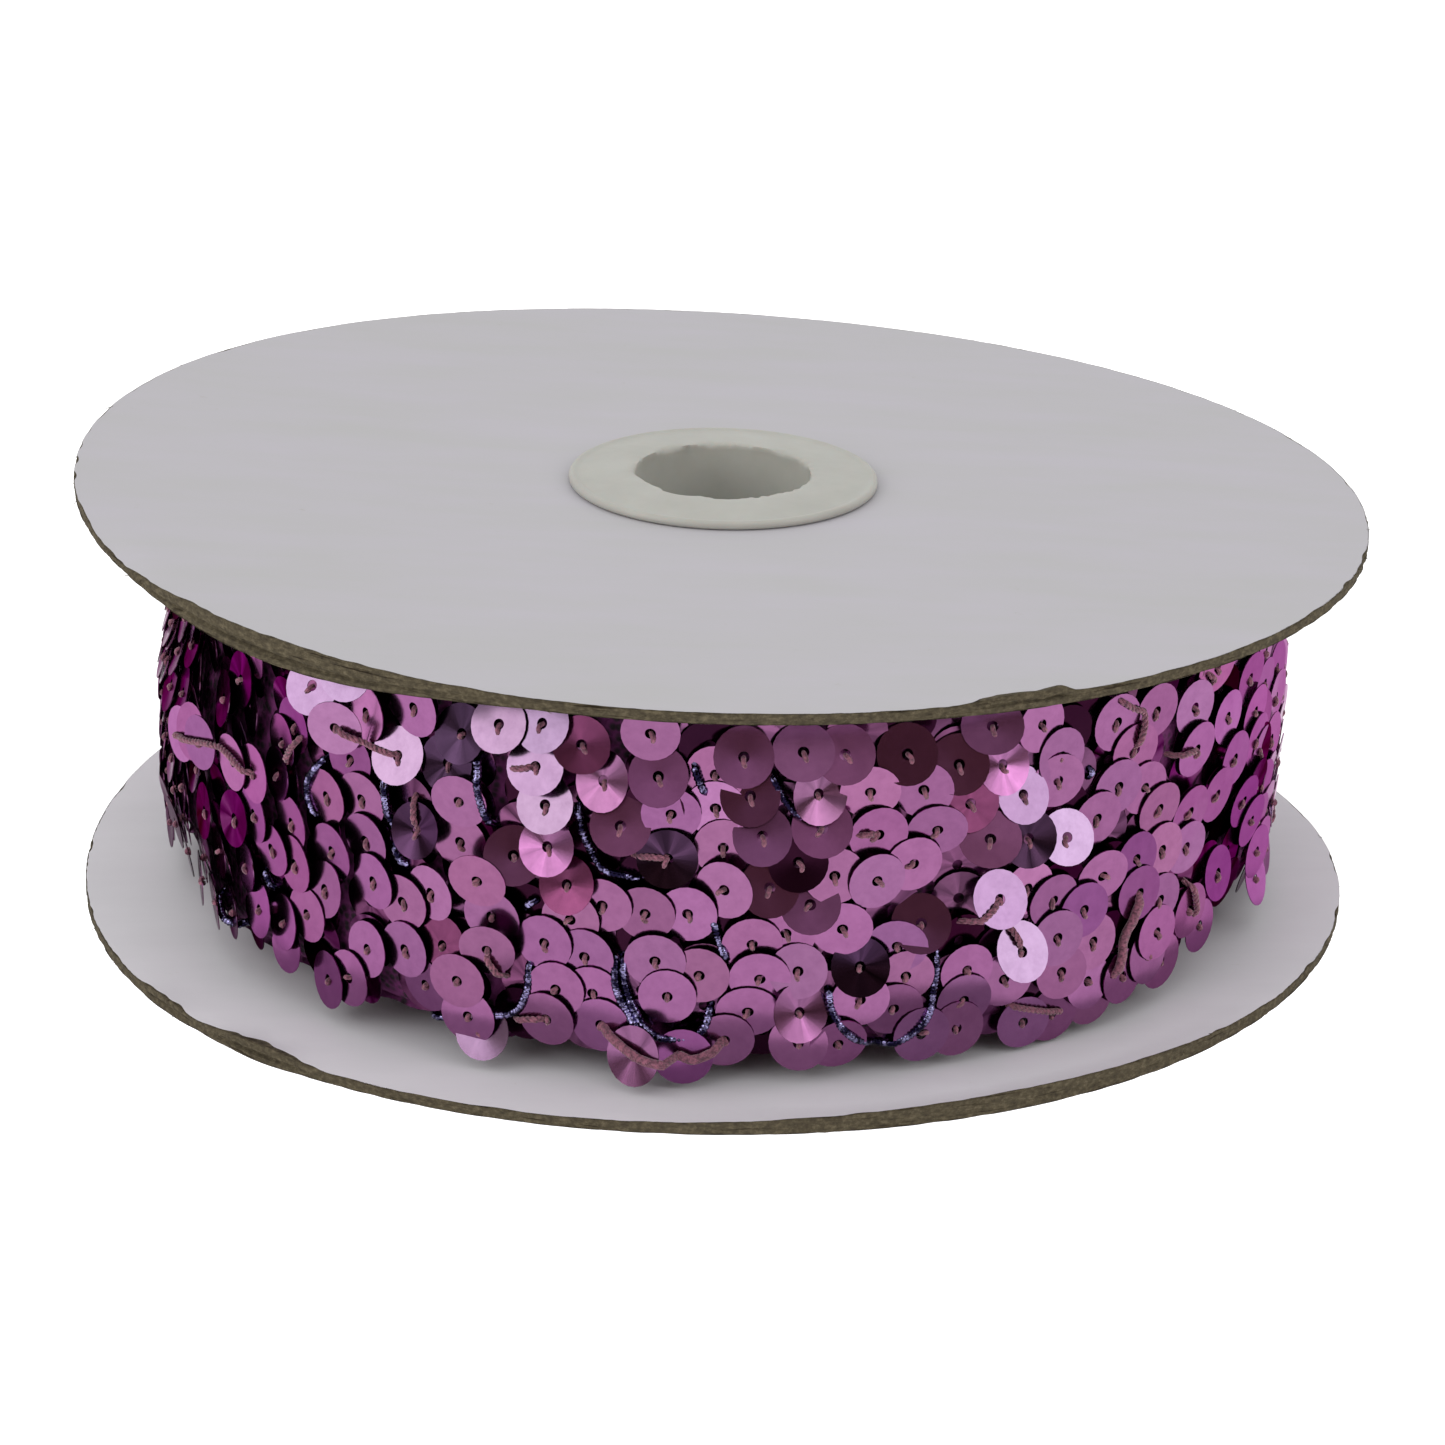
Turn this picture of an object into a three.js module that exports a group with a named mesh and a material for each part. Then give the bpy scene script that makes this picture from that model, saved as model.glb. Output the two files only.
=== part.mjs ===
// A roll of sequin trim wound on a card spool, standing on one end.
// The spool is two white-faced greyboard discs held by a plastic hub in two halves.
// Millimetres, +Z up. The origin is on the spool's axis, on the surface that it stands on.
// Angles go round the axis from the front, -Y, towards the right, +X.

import * as THREE from 'three';

// Driving dimensions: discs
const DISC_RADIUS = 69.85;
const DISC_THICKNESS = 1.5;
const DISC_HOLE_RADIUS = 12.4;
const DISC_RING_RADII = [32, 48, 60, 66];
const DISC_SEGMENTS = 96;
const SWELL_REACH = 14;

// Driving dimensions: hub
const BORE_RADIUS = 9.525;
const TUBE_RADIUS = 12.0;
const COLLAR_RADIUS = 17.5;
const COLLAR_THICKNESS = 1.2;
const LIP_ROUNDING = 0.9;
const LIP_STEPS = 3;
const SOCKET_RADIUS = 10.9;
const SOCKET_DEPTH = 8;
const HUB_SEGMENTS = 48;
const SPOOL_HEIGHT = 48.1;
const FIT_GAP = 0.3;

// Driving dimensions: wound trim
const ROLL_CORE_RADIUS = 12.7;
const ROLL_RADIUS = 61.8;
const TURN_THICKNESS = 1.3;
const ROLL_EDGE_BOTTOM = 6.0;
const ROLL_EDGE_TOP = 43.6;
const ROLL_CLEARANCE = 0.6;
const ROLL_EDGE_ROUNDING = 1.4;
const ROLL_FACE_RADII = [34, 50, 58];
const RIDDEN_UP_FROM = 43;
const ROLL_SEGMENTS = 128;
const ROLL_LEVELS = 13;
const CHAIN_LOBES = 32;
const CHAIN_RELIEF = 0.28;
const CHAIN_SWAY = 0.9;
const CHAIN_SWAY_HEIGHT = 6;
const CHAIN_SWAY_WAVES = 3;
const TAIL_ANGLE = 166;
const TAIL_RAMP = 5;

// Heights that follow from them
const LOWER_DISC_UNDERSIDE = COLLAR_THICKNESS + FIT_GAP;
const LOWER_DISC_TOP = LOWER_DISC_UNDERSIDE + DISC_THICKNESS;
const UPPER_DISC_TOP = SPOOL_HEIGHT - COLLAR_THICKNESS - FIT_GAP;
const UPPER_DISC_UNDERSIDE = UPPER_DISC_TOP - DISC_THICKNESS;
const HUB_JOINT = SPOOL_HEIGHT / 2;

// Waves of each disc around its rim: how many, and the rise in mm with their cosine and sine
const UPPER_WARP = [
  { waves: 1, cosine: 0.28, sine: -1.65 },
  { waves: 2, cosine: -0.53, sine: 0.5 },
  { waves: 3, cosine: 0.14, sine: 0.07 },
];
const LOWER_WARP = [
  { waves: 2, cosine: 0.16, sine: 1.1 },
  { waves: 3, cosine: 0.27, sine: -0.45 },
];

// Places where the board has split and swollen at the rim: degrees and millimetres
const UPPER_SWELLS = [
  { angle: -38, halfWidth: 26, above: 0, below: 0.9 },
  { angle: 29, halfWidth: 7, above: 0.5, below: 0.1 },
];
const LOWER_SWELLS = [
  { angle: -48, halfWidth: 9, above: 0.4, below: 0.2 },
];

// Hills and hollows of the outer turn: degrees, heights and millimetres of rise
const ROLL_FORMS = [
  { angle: -74, height: 38, halfWidth: 36, halfHeight: 12, rise: -2.5 },
  { angle: 82, height: 24, halfWidth: 42, halfHeight: 14, rise: 0.6 },
  { angle: 88, height: 15, halfWidth: 14, halfHeight: 4, rise: -0.9 },
  { angle: -11, height: 31, halfWidth: 7, halfHeight: 7, rise: -0.7 },
  { angle: 22, height: 22, halfWidth: 9, halfHeight: 4, rise: -0.6 },
  { angle: 62, height: 18, halfWidth: 9, halfHeight: 5, rise: -0.9 },
  { angle: -62, height: 12, halfWidth: 14, halfHeight: 6, rise: -0.8 },
  { angle: 140, height: 32, halfWidth: 24, halfHeight: 12, rise: 0.5 },
  { angle: -135, height: 17, halfWidth: 26, halfHeight: 10, rise: 0.5 },
  { angle: -160, height: 36, halfWidth: 16, halfHeight: 8, rise: -0.9 },
];

// Where the outer turn's lower edge hangs or is drawn up: degrees and millimetres
const EDGE_DROPS = [
  { angle: -22, halfWidth: 5, drop: 1.6 },
  { angle: -4, halfWidth: 7, drop: 2.2 },
  { angle: -66, halfWidth: 18, drop: -3.2 },
  { angle: 68, halfWidth: 24, drop: -2.0 },
  { angle: 130, halfWidth: 10, drop: 1.2 },
  { angle: -150, halfWidth: 14, drop: 1.0 },
];

const DEGREE = Math.PI / 180;

/** 1 at the middle of a hill and 0 at its foot, with soft ends. */
function hill(distance, halfWidth) {
  const share = Math.min(Math.abs(distance) / halfWidth, 1);
  return 0.5 + 0.5 * Math.cos(Math.PI * share);
}

/** The turn from one angle to another, between -180 and 180 degrees. */
function turnBetween(angle, other) {
  return THREE.MathUtils.euclideanModulo(angle - other + 180, 360) - 180;
}

/** How far a disc stands above its level plane. It is flat under the collar. */
function warpRise(warp, angle, radius) {
  const share = Math.max(radius - COLLAR_RADIUS, 0) / (DISC_RADIUS - COLLAR_RADIUS);
  return warp.reduce((rise, { waves, cosine, sine }) => {
    const phase = waves * angle * DEGREE;
    const wave = cosine * Math.cos(phase) + sine * Math.sin(phase);
    return rise + wave * share ** Math.max(waves, 1.2);
  }, 0);
}

/** The swelling of a disc's rim on one of its faces, 'above' or 'below'. */
function swelling(swells, side, angle, radius) {
  const share = THREE.MathUtils.smoothstep(radius, DISC_RADIUS - SWELL_REACH, DISC_RADIUS);
  return swells.reduce((sum, swell) => {
    return sum + share * swell[side] * hill(turnBetween(angle, swell.angle), swell.halfWidth);
  }, 0);
}

/** The height of the lower disc's upper face. */
function lowerDiscTop(angle, radius) {
  const swollen = swelling(LOWER_SWELLS, 'above', angle, radius);
  return LOWER_DISC_TOP + warpRise(LOWER_WARP, angle, radius) + swollen;
}

/** The height of the upper disc's lower face. */
function upperDiscUnderside(angle, radius) {
  const swollen = swelling(UPPER_SWELLS, 'below', angle, radius);
  return UPPER_DISC_UNDERSIDE + warpRise(UPPER_WARP, angle, radius) - swollen;
}

/**
 * A closed profile of [radius, height] points turned round the axis, after which
 * move(angle, radius, height) may shift each point to another radius and height.
 */
function turnedRing(profile, segments, move) {
  const points = [...profile, profile[0]].map(([radius, height]) => new THREE.Vector2(radius, height));
  const geometry = new THREE.LatheGeometry(points, segments);
  geometry.rotateX(Math.PI / 2);
  if (move) {
    const places = geometry.getAttribute('position');
    for (let i = 0; i < places.count; i += 1) {
      const [x, y, z] = [places.getX(i), places.getY(i), places.getZ(i)];
      const turn = Math.atan2(x, -y);
      const [radius, height] = move(turn / DEGREE, Math.hypot(x, y), z);
      places.setXYZ(i, radius * Math.sin(turn), -radius * Math.cos(turn), height);
    }
  }
  geometry.computeVertexNormals();
  return geometry;
}

/** A named mesh with its own plain material. */
function piece(name, geometry, color, roughness, metalness = 0) {
  const material = new THREE.MeshStandardMaterial({ color, roughness, metalness });
  const mesh = new THREE.Mesh(geometry, material);
  mesh.name = name;
  return mesh;
}

/** One greyboard disc, warped and swollen, with the hub's hole. */
function disc(name, underside, warp, swells) {
  const rings = [DISC_HOLE_RADIUS, ...DISC_RING_RADII, DISC_RADIUS];
  const top = underside + DISC_THICKNESS;
  const profile = [
    ...rings.map((radius) => [radius, underside]),
    ...rings.toReversed().map((radius) => [radius, top]),
  ];
  const geometry = turnedRing(profile, DISC_SEGMENTS, (angle, radius, height) => {
    const isTop = height > underside + DISC_THICKNESS / 2;
    const swollen = isTop
      ? swelling(swells, 'above', angle, radius)
      : -swelling(swells, 'below', angle, radius);
    return [radius, height + warpRise(warp, angle, radius) + swollen];
  });
  return piece(name, geometry, 0xbfbdc0, 0.75);
}

/** The rounded edge of a collar, from its outer face towards the disc: inward is 1 or -1. */
function lip(face, inward) {
  return Array.from({ length: LIP_STEPS + 1 }, (_, step) => {
    const turn = (step / LIP_STEPS) * (Math.PI / 2);
    const radius = COLLAR_RADIUS - LIP_ROUNDING * (1 - Math.sin(turn));
    return [radius, face + inward * LIP_ROUNDING * (1 - Math.cos(turn))];
  });
}

/** The lower half of the hub: a rounded collar, a tube and the socket at its upper end. */
function hubLowerHalf() {
  const socketFloor = HUB_JOINT - SOCKET_DEPTH / 2;
  const socketMouth = HUB_JOINT + SOCKET_DEPTH / 2;
  const profile = [
    [BORE_RADIUS, 0],
    ...lip(0, 1),
    [COLLAR_RADIUS, COLLAR_THICKNESS],
    [TUBE_RADIUS, COLLAR_THICKNESS],
    [TUBE_RADIUS, socketMouth],
    [SOCKET_RADIUS, socketMouth],
    [SOCKET_RADIUS, socketFloor],
    [BORE_RADIUS, socketFloor],
  ];
  return piece('hub_lower_half', turnedRing(profile, HUB_SEGMENTS), 0xb6b8b1, 0.45);
}

/** The upper half of the hub: its spigot sits in the lower half's socket. */
function hubUpperHalf() {
  const spigotRadius = SOCKET_RADIUS - FIT_GAP;
  const spigotEnd = HUB_JOINT - SOCKET_DEPTH / 2 + FIT_GAP;
  const shoulder = HUB_JOINT + SOCKET_DEPTH / 2 + FIT_GAP;
  const collarUnderside = SPOOL_HEIGHT - COLLAR_THICKNESS;
  const profile = [
    [BORE_RADIUS, spigotEnd],
    [spigotRadius, spigotEnd],
    [spigotRadius, shoulder],
    [TUBE_RADIUS, shoulder],
    [TUBE_RADIUS, collarUnderside],
    [COLLAR_RADIUS, collarUnderside],
    ...lip(SPOOL_HEIGHT, -1).toReversed(),
    [BORE_RADIUS, SPOOL_HEIGHT],
  ];
  return piece('hub_upper_half', turnedRing(profile, HUB_SEGMENTS), 0xb6b8b1, 0.45);
}

/** The radius of the spiral's last turn, which ends in a low step at its tail. */
function spiralRadius(angle) {
  const pastTail = THREE.MathUtils.euclideanModulo(angle - TAIL_ANGLE, 360);
  const onTail = 1 - THREE.MathUtils.smoothstep(pastTail, 0, TAIL_RAMP);
  return ROLL_RADIUS + TURN_THICKNESS * (pastTail / 360 - 0.5 + onTail);
}

/** The radius of the outer turn at an angle and a height, with its chains, hills and hollows. */
function outerTurnRadius(angle, height) {
  const sway = CHAIN_SWAY * Math.sin(height / CHAIN_SWAY_HEIGHT + CHAIN_SWAY_WAVES * angle * DEGREE);
  const chains = CHAIN_RELIEF * Math.cos(CHAIN_LOBES * angle * DEGREE + sway);
  const forms = ROLL_FORMS.reduce((sum, form) => {
    const across = hill(turnBetween(angle, form.angle), form.halfWidth);
    return sum + form.rise * across * hill(height - form.height, form.halfHeight);
  }, 0);
  return spiralRadius(angle) + chains + forms;
}

/** The height of the outer turn's lower edge. */
function lowerEdge(angle) {
  return EDGE_DROPS.reduce((height, { angle: middle, halfWidth, drop }) => {
    return height - drop * hill(turnBetween(angle, middle), halfWidth);
  }, ROLL_EDGE_BOTTOM);
}

/** The height of the roll's lower end: inner turns sit low, and the outer ones have ridden up. */
function rollBottom(angle, radius) {
  const onDisc = lowerDiscTop(angle, radius) + ROLL_CLEARANCE;
  const riddenUp = THREE.MathUtils.smoothstep(radius, RIDDEN_UP_FROM, ROLL_RADIUS);
  return THREE.MathUtils.lerp(onDisc, Math.max(lowerEdge(angle), onDisc), riddenUp);
}

/** The height of the roll's upper end, level but always clear of the upper disc. */
function rollTop(angle, radius) {
  return Math.min(ROLL_EDGE_TOP, upperDiscUnderside(angle, radius) - ROLL_CLEARANCE);
}

/** The wound trim: many turns in one solid, with the forms of its outer turn. */
function trimRoll() {
  const faceRadii = [ROLL_CORE_RADIUS, ...ROLL_FACE_RADII];
  const shares = Array.from({ length: ROLL_LEVELS }, (_, level) => level / (ROLL_LEVELS - 1));
  const profile = [
    ...faceRadii.map((radius) => [radius, 0]),
    ...shares.map((share) => [ROLL_RADIUS, share]),
    ...faceRadii.toReversed().map((radius) => [radius, 1]),
  ];
  const geometry = turnedRing(profile, ROLL_SEGMENTS, (angle, radius, share) => {
    const height = THREE.MathUtils.lerp(rollBottom(angle, radius), rollTop(angle, radius), share);
    const isWall = radius > (ROLL_FACE_RADII.at(-1) + ROLL_RADIUS) / 2;
    if (!isWall) {
      return [radius, height];
    }
    const isEdge = Math.min(share, 1 - share) < 0.5 / ROLL_LEVELS;
    return [outerTurnRadius(angle, height) - (isEdge ? ROLL_EDGE_ROUNDING : 0), height];
  });
  return piece('trim_roll', geometry, 0xa3659a, 0.35, 0.4);
}

const spool = new THREE.Group();
spool.add(disc('lower_disc', LOWER_DISC_UNDERSIDE, LOWER_WARP, LOWER_SWELLS));
spool.add(hubLowerHalf());
spool.add(trimRoll());
spool.add(hubUpperHalf());
spool.add(disc('upper_disc', UPPER_DISC_UNDERSIDE, UPPER_WARP, UPPER_SWELLS));

export default spool;
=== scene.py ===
"""A roll of sequin trim wound on a card spool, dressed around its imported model.

Lengths are millimetres and angles are degrees until a mesh is made. Angles go round the
spool's axis from the front, -Y, towards the right, +X.
"""

import logging
import math
from dataclasses import dataclass, field, replace
from enum import Enum

import bpy
import numpy as np
from bpy.types import Material, Node, NodeSocket, NodeTree, Object
from mathutils import Matrix, Vector


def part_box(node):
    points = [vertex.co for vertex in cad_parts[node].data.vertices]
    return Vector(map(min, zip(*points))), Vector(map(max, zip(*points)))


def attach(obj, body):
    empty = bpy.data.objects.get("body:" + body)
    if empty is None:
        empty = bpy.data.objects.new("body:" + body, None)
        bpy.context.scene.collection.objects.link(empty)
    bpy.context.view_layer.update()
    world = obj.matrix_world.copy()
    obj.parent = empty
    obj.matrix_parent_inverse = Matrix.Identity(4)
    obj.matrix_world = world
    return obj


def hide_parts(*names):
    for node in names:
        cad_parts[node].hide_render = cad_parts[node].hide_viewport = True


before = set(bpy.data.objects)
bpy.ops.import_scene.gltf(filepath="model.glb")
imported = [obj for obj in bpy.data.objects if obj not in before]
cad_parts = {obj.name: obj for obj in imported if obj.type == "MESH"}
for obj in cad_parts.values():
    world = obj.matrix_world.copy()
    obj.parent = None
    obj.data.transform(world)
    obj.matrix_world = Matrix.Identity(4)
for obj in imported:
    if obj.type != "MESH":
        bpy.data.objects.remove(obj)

Array = np.ndarray
Places = tuple[tuple[float, float], ...]
Profile = list[tuple[float, float]]
LOG = logging.getLogger("sequin_trim")
MM = 0.001
BODY = "root"
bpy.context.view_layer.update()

# Driving sizes, the ones of the solids
SPOOL_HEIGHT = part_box("hub_upper_half")[1].z / MM
COLLAR_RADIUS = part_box("hub_upper_half")[1].x / MM
DISC_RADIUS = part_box("upper_disc")[1].x / MM
DISC_THICKNESS = 1.5
DISC_HOLE_RADIUS = 12.4
COLLAR_THICKNESS = 1.2
FIT_GAP = 0.3
BORE_RADIUS = 9.525
TUBE_RADIUS = 12.0
SOCKET_RADIUS = 10.9
SOCKET_DEPTH = 8.0
LOWER_DISC_UNDERSIDE = COLLAR_THICKNESS + FIT_GAP
UPPER_DISC_UNDERSIDE = SPOOL_HEIGHT - COLLAR_THICKNESS - FIT_GAP - DISC_THICKNESS

ROLL_CORE_RADIUS = 12.7
ROLL_RADIUS = 61.8
TURN_THICKNESS = 1.3
TAIL_ANGLE = 166.0
ROLL_EDGE_BOTTOM = 6.0
ROLL_EDGE_TOP = 43.6
PILE_HEIGHT = 1.95
SEQUIN_RADIUS = 3.0
SEQUIN_HOLE = 0.56
FILM_THICKNESS = 0.1
STITCH_RADIUS = 0.25
GIMP_RADIUS = 0.44


def colour(code: str) -> tuple[float, float, float, float]:
    """The linear RGBA colour of an sRGB hex code such as "#AF6EAA"."""
    parts = [int(code[i : i + 2], 16) / 255 for i in (1, 3, 5)]
    linear = [c / 12.92 if c <= 0.04045 else ((c + 0.055) / 1.055) ** 2.4 for c in parts]
    return (*linear, 1.0)


def smooth_step(value: Array, low: float, high: float) -> Array:
    """0 below low, 1 above high and an S curve between them."""
    share = np.clip((np.asarray(value, float) - low) / (high - low), 0, 1)
    return share * share * (3 - 2 * share)


def hill(distance: Array, half_width: float) -> Array:
    """1 at the middle of a hill and 0 at its foot: half a cosine wave each way."""
    share = np.minimum(np.abs(distance) / half_width, 1)
    return 0.5 + 0.5 * np.cos(np.pi * share)


def turn_between(angle: Array, other: Array) -> Array:
    """The turn from one angle to another, from -180 up to 180 degrees."""
    return np.mod(np.asarray(angle, float) - other + 180, 360) - 180


def place(angle: Array, radius: Array, height: Array) -> Array:
    """Points in space from angles round the axis, distances from it and heights."""
    turn = np.radians(angle)
    angle, radius, height = np.broadcast_arrays(turn, radius, height)
    return np.stack([radius * np.sin(angle), -radius * np.cos(angle), height], axis=-1)


def all_round(count: int) -> Array:
    """Even angles all the way round, as one row."""
    return np.arange(count)[None] * 360 / count


def unevenness(angle: Array, seed: int, waves: tuple[int, int], count: int = 14) -> Array:
    """A wavy value of about -1 to 1 round the axis: a sum of sines with whole wave numbers.

    Args:
        angle: where, in degrees.
        seed: the row of random phases and wave numbers.
        waves: the lowest and highest number of waves round the axis.
        count: how many sines are added.

    Returns:
        The value at each angle.
    """
    draw = np.random.default_rng(seed)
    numbers = draw.integers(waves[0], waves[1], count)
    phases = draw.uniform(0, 2 * np.pi, count)
    turn = np.radians(np.asarray(angle, float))[..., None]
    return np.sin(turn * numbers + phases).sum(-1) * 0.8 / math.sqrt(count)


# Meshes


def mesh_piece(name: str, points: Array, faces: list[Array], materials: list[Material],
               smooth_under: float = 35.0, tint: Array | None = None,
               second: Array | None = None) -> Object:
    """A mesh object from points in millimetres and lists of faces.

    Args:
        name: the piece's name.
        points: N points, in millimetres.
        faces: arrays of corner numbers, one row a face, each array with its own row length.
        materials: its materials.
        smooth_under: edges that turn by more degrees than this stay sharp.
        tint: a colour for each point, kept as the attribute "tint".
        second: which faces have the second material.

    Returns:
        The object, linked to the scene, at the origin.
    """
    mesh = bpy.data.meshes.new(name)
    points = np.asarray(points, float).reshape(-1, 3) * MM
    lengths = np.concatenate([np.full(len(f), f.shape[1]) for f in faces])
    corners = np.concatenate([f.ravel() for f in faces])
    mesh.vertices.add(len(points))
    mesh.vertices.foreach_set("co", points.astype(np.float32).ravel())
    mesh.loops.add(len(corners))
    mesh.loops.foreach_set("vertex_index", corners.astype(np.int32))
    mesh.polygons.add(len(lengths))
    starts = np.concatenate([[0], np.cumsum(lengths)[:-1]])
    mesh.polygons.foreach_set("loop_start", starts.astype(np.int32))
    mesh.polygons.foreach_set("use_smooth", np.ones(len(lengths), bool))
    mesh.update(calc_edges=True)
    mesh.set_sharp_from_angle(angle=math.radians(smooth_under))
    for material in materials:
        mesh.materials.append(material)
    if second is not None:
        mesh.polygons.foreach_set("material_index", second.astype(np.int32))
    if tint is not None:
        attribute = mesh.attributes.new("tint", "FLOAT_COLOR", "POINT")
        attribute.data.foreach_set("color", tint.astype(np.float32).ravel())
    piece = bpy.data.objects.new(name, mesh)
    bpy.context.scene.collection.objects.link(piece)
    return piece


def grid_faces(rows: int, columns: int, close_rows: bool, close_columns: bool) -> Array:
    """The quads of a grid of points numbered row by row, closed on itself either way or both."""
    row = np.arange(rows if close_rows else rows - 1)[:, None]
    column = np.arange(columns if close_columns else columns - 1)[None, :]
    next_row, next_column = (row + 1) % rows, (column + 1) % columns
    corners = [row * columns + column, row * columns + next_column,
               next_row * columns + next_column, next_row * columns + column]
    return np.stack([np.broadcast_to(c, (row.size, column.size)) for c in corners], -1).reshape(-1, 4)


def repeated(faces: Array, copies: int, points_each: int) -> Array:
    """One shape's faces numbered on for many copies of it in one mesh."""
    steps = np.arange(copies)[:, None, None] * points_each
    return (faces[None] + steps).reshape(-1, faces.shape[1])


def joined(parts: list[tuple[Array, list[Array]]]) -> tuple[Array, list[Array]]:
    """The points and faces of several shapes as one shape's."""
    starts = np.cumsum([0] + [len(points) for points, _ in parts])
    faces = [face + start for (_, lists), start in zip(parts, starts) for face in lists]
    return np.concatenate([points for points, _ in parts]), faces


def unit(vectors: Array) -> Array:
    """The vectors at length 1."""
    return vectors / np.maximum(np.linalg.norm(vectors, axis=-1, keepdims=True), 1e-9)


def tubes(paths: Array, radii: Array, away: Array, sides: int) -> tuple[Array, list[Array]]:
    """Round tubes along many paths of the same number of points, closed at both ends.

    Each ring is the path's point plus radius times (cosine times side + sine times up), where
    up is the direction away from the path's own line that lies nearest to the given one.

    Args:
        paths: tubes x steps x 3 points.
        radii: the radius at each step, which broadcasts to tubes x steps.
        away: the direction that up lies near, which broadcasts to the paths.
        sides: how many sides the section has.

    Returns:
        The points, and the lists of faces.
    """
    count, steps, _ = paths.shape
    along = unit(np.gradient(paths, axis=1))
    side = unit(np.cross(np.broadcast_to(away, paths.shape), along))
    up = np.cross(along, side)
    turn = np.linspace(0, 2 * np.pi, sides, endpoint=False)
    ring = np.cos(turn)[:, None] * side[:, :, None] + np.sin(turn)[:, None] * up[:, :, None]
    radii = np.broadcast_to(radii, (count, steps))[:, :, None, None]
    points = paths[:, :, None] + radii * ring
    around = grid_faces(steps, sides, False, True)
    start = np.arange(sides)[None, ::-1]
    end = (steps - 1) * sides + np.arange(sides)[None]
    each = steps * sides
    return points.reshape(-1, 3), [repeated(f, count, each) for f in (around, start, end)]


def smooth_path(points: Array, step: float, steps_a_run: int = 24) -> Array:
    """An even path through a few points: a Catmull-Rom curve resampled at the given step."""
    points = np.asarray(points, float)
    padded = np.vstack([2 * points[0] - points[1], points, 2 * points[-1] - points[-2]])
    share = np.linspace(0, 1, steps_a_run, endpoint=False)[:, None]
    runs = []
    for before, start, end, after in zip(padded, padded[1:], padded[2:], padded[3:]):
        bend = (2 * before - 5 * start + 4 * end - after) * share**2
        turn = (3 * start - before - 3 * end + after) * share**3
        runs.append(0.5 * (2 * start + (end - before) * share + bend + turn))
    curve = np.vstack([*runs, points[-1:]])
    length = np.concatenate([[0], np.cumsum(np.linalg.norm(np.diff(curve, axis=0), axis=1))])
    wanted = np.linspace(0, length[-1], max(int(length[-1] / step), 4) + 1)
    return np.stack([np.interp(wanted, length, axis) for axis in curve.T], -1)


# Finishes


def add_node(tree: NodeTree, kind: str, settings: dict | None = None,
             links: dict | None = None) -> Node:
    """Adds a node.

    Args:
        tree: the material's or world's node tree.
        kind: the node's type name, without "ShaderNode".
        settings: attributes of the node by name, or values of its sockets by name or number.
        links: output sockets to join to its sockets, by the sockets' names or numbers.

    Returns:
        The node.
    """
    node = tree.nodes.new(f"ShaderNode{kind}")
    for key, value in (settings or {}).items():
        if isinstance(key, str) and hasattr(node, key):
            setattr(node, key, value)
        else:
            node.inputs[key].default_value = value
    for key, output in (links or {}).items():
        tree.links.new(output, node.inputs[key])
    return node


def new_material(name: str) -> tuple[Material, NodeTree, Node]:
    """A material with one Principled shader joined to its output."""
    material = bpy.data.materials.new(name)
    material.use_nodes = True
    tree = material.node_tree
    tree.nodes.clear()
    shader = add_node(tree, "BsdfPrincipled")
    add_node(tree, "OutputMaterial", links={"Surface": shader.outputs[0]})
    return material, tree, shader


def ramp(tree: NodeTree, value: NodeSocket, stops: tuple[tuple[float, str], ...]) -> NodeSocket:
    """A colour ramp over a value, from its stops' places and hex colours."""
    node = add_node(tree, "ValToRGB", links={0: value})
    while len(node.color_ramp.elements) < len(stops):
        node.color_ramp.elements.new(0.5)
    for element, (position, code) in zip(node.color_ramp.elements, stops):
        element.position = position
        element.color = colour(code)
    return node.outputs[0]


@dataclass(frozen=True)
class Grain:
    """A pattern of noise: its spacing in millimetres each way, its detail and its roughness."""

    spacing: tuple[float, float, float]
    detail: float = 3.0
    roughness: float = 0.6

    def value(self, tree: NodeTree) -> NodeSocket:
        """The noise's value on Object coordinates, 0 to 1."""
        coordinates = add_node(tree, "TexCoord").outputs["Object"]
        scale = tuple(1 / (s * MM) for s in self.spacing)
        mapping = add_node(tree, "Mapping", {"Scale": scale}, {"Vector": coordinates})
        settings = {"Scale": 1.0, "Detail": self.detail, "Roughness": self.roughness}
        return add_node(tree, "TexNoise", settings, {"Vector": mapping.outputs[0]}).outputs[0]


@dataclass(frozen=True)
class Meshes(Grain):
    """A pattern of round meshes, with only one spacing."""

    def value(self, tree: NodeTree) -> NodeSocket:
        """The distance from the middle of the nearest mesh, in spacings."""
        coordinates = add_node(tree, "TexCoord").outputs["Object"]
        settings = {"Scale": 1 / (self.spacing[0] * MM)}
        return add_node(tree, "TexVoronoi", settings, {"Vector": coordinates}).outputs["Distance"]


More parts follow.
